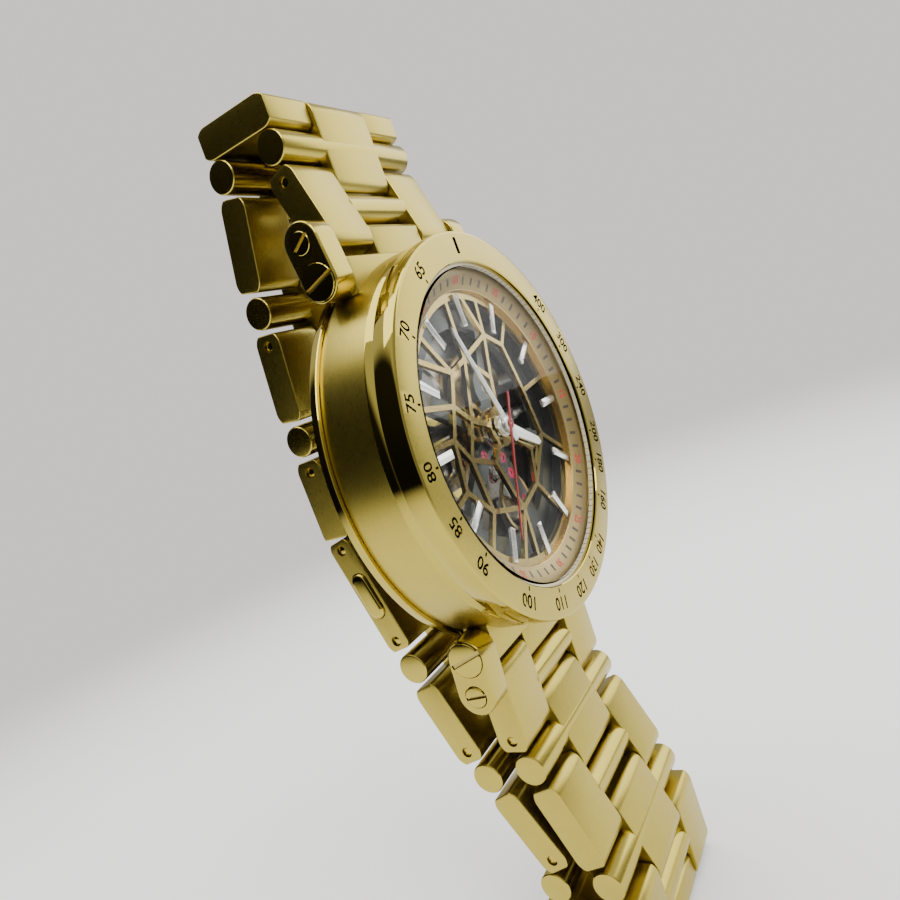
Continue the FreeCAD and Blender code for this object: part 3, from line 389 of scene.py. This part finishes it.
def scale_mark(half, inner, outer, turn):
    outline = [(-half, inner), (half, inner), (half, outer), (-half, outer)]
    return prism("scale_mark", outline, -ENGRAVING, ENGRAVING, ("engraved",), "z",
                 WATCH @ Matrix.Rotation(math.radians(-turn), 4, "Z"))


def bezel_piece():
    section = [(18.9, -0.12), (19.02, 0.0), (22.15, 0.0), (22.42, -0.1), (22.5, -0.35), (22.5, -2.32),
               (22.42, BEZEL_BACK), (21.2, BEZEL_BACK), (21.2, -3.1), (20.4, -3.1), (20.4, BEZEL_BACK),
               (18.9, BEZEL_BACK)]
    looks = [1, 0] + [1] * 10
    ring = lathe("bezel_ring", section, ("ring", "polish", "engraved"), looks, steps=RING_STEPS)
    bake(ring)
    words = []
    for value in SCALE_VALUES:
        turn = scale_turn(value)
        words.append((str(value), spot(*clock(SCALE_RADIUS, turn), 0, turn)))
    digits = lettering("scale_digits", words, SCALE_DIGITS, ENGRAVING, "engraved", SCALE_BOLD)
    ticks = [scale_mark(*SPEED_TICK, scale_turn(value)) for value in SCALE_VALUES]
    ticks.append(scale_mark(*NOON_BAR, 0.0))
    bpy.context.view_layer.update()
    carve(ring, [digits, merge("scale_ticks", ticks)])
    wear(ring, CASE, STEEL, "bezel")


def wall_piece():
    section = [(18.9, BEZEL_BACK), (21.8, BEZEL_BACK), (21.9, -2.56), (22.38, -3.44), (22.4, -3.6),
               (22.4, -9.28), (22.3, WALL_BACK), (18.9, WALL_BACK)]
    wall = lathe("case_wall", section, ("ring", "polish"), [1, 1, 1, 1, 0, 1, 1, 1], steps=RING_STEPS)
    bake(wall)
    wear(wall, CASE, STEEL, "case_middle")


def horn_piece(name, turn):
    """The block between two lug bars, and the tongue between the first link's flats."""
    block = [(17.0, HORN_BACK), (22.6, HORN_BACK), (22.6, HORN_FRONT), (17.0, HORN_FRONT)]
    horn = prism("horn", block, -12.4, 12.4, ("along",), "x", turn)
    bevel(horn, 0.3)
    bake(horn)
    outline = [(20.0, HORN_BACK)] + arc(*SMALL_SCREW, 1.8, -60, 60, 12) + [(20.0, -6.6)]
    outline = [(min(y, 26.25), z) for y, z in outline]
    tongue = prism("tongue", outline, -LINK_SEAT, LINK_SEAT, ("along",), "x", turn)
    bevel(tongue, 0.2)
    bake(tongue)
    wear(merge(name, [horn, tongue]), CASE, STEEL, "case_middle")


def crown_tube_piece():
    tube = drum("crown_tube", 1.5, 21.5, 23.7, ("polish",), "x", (0, -7.4))
    bevel(tube, 0.15)
    bake(tube)
    wear(tube, CASE, STEEL, "case_middle")


def back_piece():
    section = [(WINDOW, CASE_BACK), (21.45, CASE_BACK), (21.7, -10.95), (22.85, -10.3), (22.9, -10.15),
               (22.9, -9.5), (22.82, -9.42), (22.4, WALL_BACK), (18.7, WALL_BACK), (18.7, RIM_FLOOR),
               (WINDOW, RIM_FLOOR)]
    rim = lathe("case_back_ring", section, ("ring", "polish"), [0] + [1] * 10, steps=RING_STEPS)
    bake(rim)
    holes = []
    for k in range(6):
        angle = math.radians(30 + 60 * k)
        place = (SCREW_CIRCLE * math.cos(angle), SCREW_CIRCLE * math.sin(angle))
        span = (CASE_BACK - 0.3, CASE_BACK + 0.4)
        holes.append(drum("hole", BACK_HOLE, *span, ("engraved",), "z", place, 24))
    grooves = []
    low, floor = CASE_BACK - 0.2, CASE_BACK + GROOVE_DEPTH
    for inner in GROOVES:
        outer = inner + GROOVE_WIDTH
        outline = [(inner, low), (outer, low), (outer, floor), (inner, floor)]
        grooves.append(bake(lathe("groove", outline, ("engraved",), steps=128)))
    bpy.context.view_layer.update()
    carve(rim, [merge("holes", holes)] + grooves)
    wear(rim, CASE, STEEL, "case_back")


def crystal_pieces():
    front = [(0, -2.3), (18.55, -2.3), (18.55, -0.45), (18.4, -0.25), (0, -0.25)]
    glass = bake(lathe("front_glass", front, ("glass",), steps=RING_STEPS))
    wear(glass, CASE, "sapphire", "crystal")
    rear = [(0, CASE_BACK), (WINDOW - 0.05, CASE_BACK), (WINDOW, -10.95), (WINDOW, RIM_FLOOR),
            (0, RIM_FLOOR)]
    pane = bake(lathe("back_glass", rear, ("back_glass",)))
    wear(pane, CASE, "sapphire", "case_back_window")


def case_pieces():
    bezel_piece()
    wall_piece()
    horn_piece("horn_top", WATCH)
    horn_piece("horn_low", WATCH @ Matrix.Rotation(math.pi, 4, "Z"))
    crown_tube_piece()
    back_piece()
    crystal_pieces()


# ---------------------------------------------------------------- lugs
POCKET_FLOOR = 15.2
POCKET_OPEN = 16.2
POCKET_FIT = 0.09
SCREW_FACE = 15.86
SLOT_DEPTH = 0.3
PLATE_SPAN = (12.45, 15.7)
# Place, head radius and slot width of the two screws in a lug bar.
LUG_SCREWS = ((BIG_SCREW, 1.95, 0.5), (SMALL_SCREW, 1.2, 0.36))


def outward(near, far, out):
    """The low and high ends of a span on one side of the middle: out is 1 or -1."""
    return (near, far) if out == 1 else (-far, -near)


def lug_pieces():
    rise, run = SMALL_SCREW[1] - BIG_SCREW[1], SMALL_SCREW[0] - BIG_SCREW[0]
    slope = math.degrees(math.atan2(rise, run))
    outline = arc(*SMALL_SCREW, PLATE_END, slope - 90, slope + 90, 20)
    outline += arc(*BIG_SCREW, PLATE_END, slope + 90, slope + 270, 20)
    for number in range(4):
        turn = WATCH @ Matrix.Rotation(math.pi * (number // 2), 4, "Z")
        out = 1 if number % 2 == 0 else -1
        span = outward(*PLATE_SPAN, out)
        plate = prism("lug_bar_%d" % number, outline, *span, ("side", "polish"), "x", turn)
        bevel(plate, 0.28, 4)
        bake(plate)
        pockets = []
        screws = []
        for place, head, slot_width in LUG_SCREWS:
            span = outward(POCKET_FLOOR, POCKET_OPEN, out)
            pockets.append(drum("pocket", head + POCKET_FIT, *span, ("polish",), "x", place, 48, turn))
            span = outward(POCKET_FLOOR, SCREW_FACE, out)
            screw = drum("screw", head, *span, ("polish", "engraved"), "x", place, 64, turn)
            bevel(screw, 0.13)
            bake(screw)
            lean = math.radians(35.0 * number + 20.0 * head)
            cut_matrix = (turn @ Matrix.Translation(Vector((0, place[0], place[1])) * MM)
                          @ Matrix.Rotation(lean, 4, "X"))
            reach, half = head + 0.3, slot_width / 2
            slot = [(-reach, -half), (reach, -half), (reach, half), (-reach, half)]
            face = SCREW_FACE * out
            cut = prism("slot", slot, face - SLOT_DEPTH, face + SLOT_DEPTH, ("engraved",), "x", cut_matrix)
            carve(screw, [cut])
            screws.append(screw)
        bpy.context.view_layer.update()
        carve(plate, [merge("pockets", pockets)])
        wear(plate, CASE, STEEL, "lug_bars")
        wear(merge("lug_screw_pair_%d" % number, screws), CASE, STEEL, "lug_screws")


# ---------------------------------------------------------------- bracelet
PITCH = 7.5
INSIDE = 5.3
OUTSIDE = 12.2
FLAT_HALF = 1.8
FLAT_CUT = 1.35
BAR_RADIUS = 1.85
PIN_RADIUS = 0.6
LAST_FAR = 0.72
LINK_EDGE = 0.22
MOUTH_RADIUS = 0.62
MOUTH_SPAN = (11.75, 12.6)
PIN_END_RADIUS = 0.52
PIN_END_SPAN = (11.2, 11.98)


def flat_outline(length, near, far, half=FLAT_HALF):
    """The side view of a flat link: blunted round ends, along y from its first pin."""
    lower = math.degrees(math.acos(near / half)) if near < half else 0.0
    upper = math.degrees(math.acos(far / half)) if far < half else 0.0
    right = arc(length, 0, half, -90, -upper, 8) + arc(length, 0, half, upper, 90, 8)
    left = arc(0, 0, half, 90, 180 - lower, 8) + arc(0, 0, half, 180 + lower, 270, 8)
    return right + left


def link_matrix(start, direction):
    return (WATCH @ Matrix.Translation(Vector((0, start[0], start[1])) * MM)
            @ Matrix.Rotation(math.radians(direction), 4, "X"))


def pin_hole(along, side, matrix):
    """A cutter for the mouth of a pin hole on a side face, and the pin's end inside it."""
    span = outward(*MOUTH_SPAN, side)
    cutter = drum("mouth", MOUTH_RADIUS, *span, ("engraved",), "x", (along, 0), 32, matrix)
    span = outward(*PIN_END_SPAN, side)
    end = drum("pin_end", PIN_END_RADIUS, *span, ("polish",), "x", (along, 0), 32, matrix)
    bevel(end, 0.08, 2)
    return cutter, bake(end)


def outer_piece(name, start, direction, holes, far):
    """Two flats, their round bar, and the pins that no lug screw and no clasp cover holds."""
    matrix = link_matrix(start, direction)
    parts = []
    for side in (1, -1):
        span = outward(INSIDE, OUTSIDE, side)
        flat = prism("flat", flat_outline(PITCH, FLAT_CUT, far), *span, ("along",), "x", matrix)
        bevel(flat, LINK_EDGE, 3, 30)
        bake(flat)
        for along in holes:
            cutter, end = pin_hole(along, side, matrix)
            carve(flat, [cutter])
            parts.append(end)
        parts.append(flat)
    reach = INSIDE + 0.3
    bar = drum("bar", BAR_RADIUS, -reach, reach, ("across",), "x", (PITCH / 2, 0), 64, matrix)
    parts.append(bake(bar))
    ends = []
    if name not in ("upper_link_1", "lower_link_1"):
        ends.append(0.0)
    if far != LAST_FAR:
        ends.append(PITCH)
    reach = OUTSIDE - 0.9
    for along in ends:
        pin = drum("pin", PIN_RADIUS, -reach, reach, ("polish",), "x", (along, 0), 24, matrix)
        parts.append(bake(pin))
    bpy.context.view_layer.update()
    obj = merge(name + "_look", parts)
    return wear(obj, name, STEEL, name)


def centre_piece(name, start, direction):
    matrix = link_matrix(start, direction)
    outline = flat_outline(PITCH, FLAT_CUT, FLAT_CUT)
    flat = prism("flat", outline, -LINK_SEAT, LINK_SEAT, ("along",), "x", matrix)
    bevel(flat, LINK_EDGE, 3, 30)
    bar = drum("bar", BAR_RADIUS, -OUTSIDE, OUTSIDE, ("across",), "x", (PITCH / 2, 0), 64, matrix)
    bevel(bar, 0.25)
    parts = [bake(flat), bake(bar)]
    bpy.context.view_layer.update()
    return wear(merge(name + "_look", parts), name, STEEL, name)


def pin_place(joint):
    """A hinge's (y, z) in the watch's own directions."""
    y, z = joint["pos_m"][1:]
    return z / MM, -y / MM - CASE_HEIGHT


def pins_of(group):
    """The (y, z) places of a run's pins, read from the record's hinges."""
    joints = {j["child"]: j for j in frame["joints"] if j["type"] == "hinge"}
    pins = []
    number = 1
    while "%s_link_%d" % (group, number) in joints:
        pins.append(pin_place(joints["%s_link_%d" % (group, number)]))
        number += 1
    return pins


def bracelet():
    upper = pins_of("upper")
    upper.append((upper[-1][0] - PITCH, upper[-1][1]))
    lower = pins_of("lower")
    lower += [pin_place(joint) for joint in frame["joints"] if joint["child"] == "clasp_cover"]
    # Where the mouths of the pin holes show on a link's sides.
    open_ends = {"upper_link_1": (PITCH,), "upper_link_7": (0.0,), "upper_link_9": (0.0,),
                 "lower_link_1": (PITCH,), "lower_link_9": (0.0,), "lower_link_11": (0.0,)}
    for group, pins in (("upper", upper), ("lower", lower)):
        for k in range(len(pins) - 1):
            name = "%s_link_%d" % (group, k + 1)
            direction = math.degrees(math.atan2(pins[k + 1][1] - pins[k][1], pins[k + 1][0] - pins[k][0]))
            if k % 2:
                centre_piece(name, pins[k], direction)
            else:
                far = LAST_FAR if name == "upper_link_9" else FLAT_CUT
                outer_piece(name, pins[k], direction, open_ends.get(name, ()), far)


# ---------------------------------------------------------------- clasp
COVER_LENGTH = 12.2
COVER_HALF = 1.6
COVER_CUT = 1.15
COVER_PIN_HALF = 11.0
# The cover's pin on the upper half's side (y, z), and the way from there to its other one.
COVER_START = (-7.0, -21.45)
COVER_DIRECTION = 167.0
BUTTON_SPREAD = 1.8
BUTTON_RADIUS = 1.13
BUTTON_SPAN = (8.2, 12.6)
POCKET_RADIUS = 1.2
POCKET_SPAN = (7.3, 12.6)


def oval(radius, steps):
    """A button's outline: two half circles on the middle of the cover."""
    middle = COVER_LENGTH / 2
    return (arc(middle + BUTTON_SPREAD, 0, radius, -90, 90, steps)
            + arc(middle - BUTTON_SPREAD, 0, radius, 90, 270, steps))


def clasp_pieces():
    length, half = COVER_LENGTH, COVER_HALF
    matrix = link_matrix(COVER_START, COVER_DIRECTION)
    parts = []
    for side in (1, -1):
        span = outward(INSIDE, OUTSIDE, side)
        outline = flat_outline(length, COVER_CUT, COVER_CUT, half)
        rail = prism("rail", outline, *span, ("along",), "x", matrix)
        bevel(rail, LINK_EDGE, 3, 30)
        bake(rail)
        cutters = []
        for along in (0.0, length):
            cutter, end = pin_hole(along, side, matrix)
            cutters.append(cutter)
            parts.append(end)
        span = outward(*POCKET_SPAN, side)
        cutters.append(prism("pocket", oval(POCKET_RADIUS, 16), *span, ("polish",), "x", matrix))
        carve(rail, cutters)
        parts.append(rail)
    outline = [(2.2, 0.4), (10.0, 0.4), (10.0, half), (2.2, half)]
    plate = prism("plate", outline, -INSIDE - 0.4, INSIDE + 0.4, ("along",), "x", matrix)
    bevel(plate, 0.1)
    parts.append(bake(plate))
    for along in (0.0, length):
        reach = COVER_PIN_HALF
        pin = drum("pin", PIN_RADIUS, -reach, reach, ("polish",), "x", (along, 0), 24, matrix)
        parts.append(bake(pin))
    bpy.context.view_layer.update()
    wear(merge("clasp_cover_look", parts), "clasp_cover", STEEL, "clasp_cover")
    for side, name in ((-1, "clasp_button_left"), (1, "clasp_button_right")):
        span = outward(*BUTTON_SPAN, side)
        button = prism(name + "_look", oval(BUTTON_RADIUS, 24), *span, ("polish",), "x", matrix)
        bevel(button, 0.45, 5)
        bake(button)
        wear(button, name, STEEL, name)


# ---------------------------------------------------------------- dial and hands
FLANGE_IN = 16.38
FLANGE_OUT = 18.2
FLANGE_LOW = -3.46
FLANGE_TOP = -2.6
PRINT_DEPTH = 0.012
TRACK_RADIUS = 17.3
TRACK_DIGITS = 1.3
BATON_IN = 12.1
BATON_OUT = 16.0


def flange_place(radius, minute):
    """A spot just above the sloping minute ring, leaning with it."""
    run, rise = FLANGE_OUT - FLANGE_IN, FLANGE_TOP - FLANGE_LOW
    lean = math.degrees(math.atan2(rise, run))
    height = FLANGE_LOW + (radius - FLANGE_IN) * rise / run
    return spot(*clock(radius, minute * 6), height + 0.01, minute * 6, lean)


def flange_piece():
    section = [(18.85, FLANGE_TOP), (FLANGE_OUT, FLANGE_TOP), (FLANGE_IN, FLANGE_LOW), (16.3, -3.54),
               (16.3, -4.0), (18.85, -4.0)]
    looks = [0, 0, 1, 1, 0, 0]
    flange = lathe("minute_flange_look", section, ("dial_gold", "rose"), looks, steps=RING_STEPS)
    wear(bake(flange), CASE, "dial_gold", "minute_flange")


def minute_track():
    half, reach = 0.19, 0.45
    dash = [(-half, -reach), (half, -reach), (half, reach), (-half, reach)]
    ticks = []
    words = []
    for minute in range(1, 61):
        if minute % 5:
            matrix = WATCH @ flange_place(TRACK_RADIUS - 0.05, minute)
            ticks.append(prism("tick", dash, -0.02, PRINT_DEPTH, ("ink",), "z", matrix))
        else:
            words.append(("%02d" % minute, flange_place(TRACK_RADIUS, minute)))
    bpy.context.view_layer.update()
    wear(merge("minute_ticks", ticks), CASE, "dial_gold")
    digits = lettering("minute_digits", words, TRACK_DIGITS, PRINT_DEPTH, "red_ink", 0.03)
    wear(digits, CASE, "dial_gold")


def hour_batons():
    low, top, ridge, half, chamfer = -4.0, -3.68, -3.5, 0.5, 0.16
    a, b = BATON_IN, BATON_OUT
    points = [(-half, a, low), (half, a, low), (half, b, low), (-half, b, low),
              (-half, a, top), (half, a, top), (half, b, top), (-half, b, top),
              (0, a + chamfer * 2, ridge), (0, b - chamfer * 2, ridge)]
    faces = [(0, 3, 2, 1), (0, 1, 5, 4), (1, 2, 6, 5), (2, 3, 7, 6), (3, 0, 4, 7),
             (4, 5, 8), (5, 6, 9, 8), (6, 7, 9), (7, 4, 8, 9)]
    batons = []
    for hour in range(12):
        matrix = WATCH @ Matrix.Rotation(math.radians(-30.0 * hour), 4, "Z")
        baton = mesh_object("baton", points, faces, ("silver",), None, matrix)
        bevel(baton, 0.03, 2, 12)
        batons.append(bake(baton))
    bpy.context.view_layer.update()
    wear(merge("hour_batons", batons), CASE, "polished_steel", "hour_indices")


def ridge_hand(name, body, turn, length, root, tip, tail, low, top, hub):
    """A hand's faceted upper face: two slopes that meet on a ridge, and its boss."""
    matrix = WATCH @ Matrix.Rotation(math.radians(-turn), 4, "Z")
    shoulder = length * 0.93
    outline = [(-root / 2, -tail), (root / 2, -tail), (root / 2, 0), (tip / 2, shoulder), (0, length),
               (-tip / 2, shoulder), (-root / 2, 0)]
    points = [(x, y, low) for x, y in outline] + [(0, -tail, top), (0, shoulder, top)]
    n = len(outline)
    faces = [(0, 1, n), (1, 2, 3, n + 1, n), (3, 4, n + 1), (4, 5, n + 1), (5, 6, 0, n, n + 1),
             tuple(range(n))[::-1]]
    blade = mesh_object(name, points, faces, ("hand",), None, matrix)
    bake(blade)
    boss = bevel(drum("boss", hub, low, top + 0.06, ("hand",), "z", (0, 0), 48, matrix), 0.06)
    bake(boss)
    bpy.context.view_layer.update()
    return wear(merge(name, [blade, boss]), body, "polished_steel")


def hands():
    ridge_hand("hour_hand_facets", "hour", turn=118.3, length=8.6, root=1.5, tip=1.0, tail=1.6,
               low=-3.5, top=-3.32, hub=1.25)
    ridge_hand("minute_hand_facets", "minute", turn=339.5, length=13.2, root=1.0, tip=0.7, tail=2.2,
               low=-2.95, top=-2.82, hub=0.95)


# ---------------------------------------------------------------- the CAD pieces that stay as they are
def dress_cad_nodes():
    keys = {"gaskets": "seal", "skeleton_dial": "web", "hour_hand": "silver", "minute_hand": "silver",
            "seconds_hand": "red", "minute_wheel": "brass", "movement_ring": "holder",
            "main_plate": "plate", "jewels": "ruby", "barrel_bridge": "nickel", "train_bridge": "nickel",
            "balance_cock": "nickel", "case_screws": "silver", "barrel": "brass", "ratchet_wheel": "nickel",
            "center_wheel": "brass", "third_wheel": "brass", "fourth_wheel": "brass",
            "escape_wheel": "silver", "pallet_fork": "silver", "balance_wheel": "brass",
            "hairspring": "silver", "rotor": "nickel", "winding_stem": "silver", "crown": "polish",
            "clasp_blade_outer": "side", "clasp_blade_inner": "side"}
    for name, key in keys.items():
        mesh = frame["nodes"][name].data
        mesh.materials.clear()
        mesh.materials.append(M[key])
        mesh.shade_smooth()
        mesh.set_sharp_from_angle(angle=SMOOTH_BELOW)


# ---------------------------------------------------------------- studio
# The photo's camera: its place in the watch's millimetres, its turn as a rotation vector, its lens.
CAMERA_AT = Vector((-77.39, 7.49, 38.63))
CAMERA_TURN = Vector((2.613, -0.546, 1.468))
LENS = 30.42
FLOOR_HALF = 0.5
# Name, place in metres, size and power.
LAMPS = (("key", (-0.15, -0.45, 0.55), 0.5, 4.6), ("fill", (0.65, -0.35, 0.25), 0.6, 3.0),
         ("top", (0.0, 0.15, 0.75), 0.6, 3.8))
DARK_SIDE = (-0.78, 0.62, -0.02)
ROOM_WHITE = (1.0, 0.985, 0.96, 1)
WALL_TONE = (0.95, 0.915, 0.875, 1)


def floor_material():
    """Pale matt floor that melts into the wall's tone away from the watch."""
    mat, tree = new_material("pale_floor")
    place = node(tree, "ShaderNodeTexCoord").outputs["Object"]
    noise = node(tree, "ShaderNodeTexNoise", {"Vector": place, "Scale": 30.0, "Detail": 3.0})
    tint = node(tree, "ShaderNodeMapRange", {0: noise.outputs[0], 3: 0.74, 4: 0.78})
    matt = node(tree, "ShaderNodeBsdfDiffuse", {0: tint.outputs[0]})
    away = node(tree, "ShaderNodeVectorMath", {0: place}, operation="LENGTH")
    fade = node(tree, "ShaderNodeMapRange", {0: away.outputs["Value"], 1: 0.12, 2: 0.42, 3: 0.0, 4: 1.0},
                interpolation_type="SMOOTHSTEP")
    clear = node(tree, "ShaderNodeBsdfTransparent")
    both = node(tree, "ShaderNodeMixShader", {0: fade.outputs[0], 1: matt.outputs[0], 2: clear.outputs[0]})
    out = node(tree, "ShaderNodeOutputMaterial")
    tree.links.new(both.outputs[0], out.inputs[0])
    return mat


def photo_camera():
    spin = Matrix.Rotation(CAMERA_TURN.length, 3, CAMERA_TURN.normalized())
    right, down, ahead = [Vector(row) for row in spin]
    turn = Matrix((right, -down, -ahead)).transposed().to_4x4()
    camera = bpy.data.objects.new("camera", bpy.data.cameras.new("camera"))
    camera.data.lens = LENS
    camera.data.sensor_width = 36.0
    camera.data.clip_start = 0.005
    camera.data.clip_end = 20.0
    bpy.context.scene.collection.objects.link(camera)
    camera.matrix_world = WATCH @ Matrix.Translation(CAMERA_AT * MM) @ turn
    bpy.context.scene.camera = camera


def pale_floor():
    floor_mesh = bpy.data.meshes.new("floor")
    size = FLOOR_HALF
    corners = [(-size, -size), (size, -size), (size, size), (-size, size)]
    level = BOX_AT_LOAD[0].z - 0.0001
    floor_mesh.from_pydata([(x, y, level) for x, y in corners], [], [(0, 1, 2, 3)])
    floor_mesh.materials.append(floor_material())
    floor = bpy.data.objects.new("floor", floor_mesh)
    bpy.context.scene.collection.objects.link(floor)


def lamps():
    for name, place, size, power in LAMPS:
        data = bpy.data.lights.new(name, "AREA")
        data.shape = "SQUARE"
        data.size = size
        data.energy = power
        lamp = bpy.data.objects.new(name, data)
        bpy.context.scene.collection.objects.link(lamp)
        lamp.location = place
        lamp.rotation_mode = "QUATERNION"
        lamp.rotation_quaternion = Vector(place).to_track_quat("Z", "Y")


def room_light():
    """Polished faces see a room with one dark side, matt ones an even glow, the camera a plain wall."""
    world = bpy.data.worlds.new("studio")
    world.use_nodes = True
    tree = world.node_tree
    tree.nodes.clear()
    direction = node(tree, "ShaderNodeTexCoord").outputs["Generated"]
    toward = node(tree, "ShaderNodeVectorMath", {0: direction, 1: DARK_SIDE}, operation="DOT_PRODUCT")
    dark = node(tree, "ShaderNodeMapRange", {0: toward.outputs["Value"], 1: 0.5, 2: 0.66, 3: 1.0, 4: 0.03},
                interpolation_type="SMOOTHSTEP")
    height = node(tree, "ShaderNodeSeparateXYZ", {0: direction})
    lift = node(tree, "ShaderNodeMapRange", {0: height.outputs[2], 1: -0.1, 2: 0.8, 3: 0.35, 4: 0.85},
                interpolation_type="SMOOTHSTEP")
    glow = node(tree, "ShaderNodeMath", {0: dark.outputs[0], 1: lift.outputs[0]}, operation="MULTIPLY")
    room = node(tree, "ShaderNodeBackground", {0: ROOM_WHITE, 1: glow.outputs[0]})
    wall = node(tree, "ShaderNodeBackground", {0: WALL_TONE, 1: 1.0})
    path = node(tree, "ShaderNodeLightPath")
    both = node(tree, "ShaderNodeMixShader", {0: path.outputs["Is Camera Ray"], 1: room.outputs[0],
                                              2: wall.outputs[0]})
    matt = node(tree, "ShaderNodeBackground", {0: ROOM_WHITE, 1: 1.45})
    every = node(tree, "ShaderNodeMixShader", {0: path.outputs["Is Diffuse Ray"], 1: both.outputs[0],
                                               2: matt.outputs[0]})
    out = node(tree, "ShaderNodeOutputWorld")
    tree.links.new(every.outputs[0], out.inputs[0])
    bpy.context.scene.world = world


case_pieces()
lug_pieces()
bracelet()
clasp_pieces()
flange_piece()
minute_track()
hour_batons()
hands()
dress_cad_nodes()
photo_camera()
pale_floor()
lamps()
room_light()
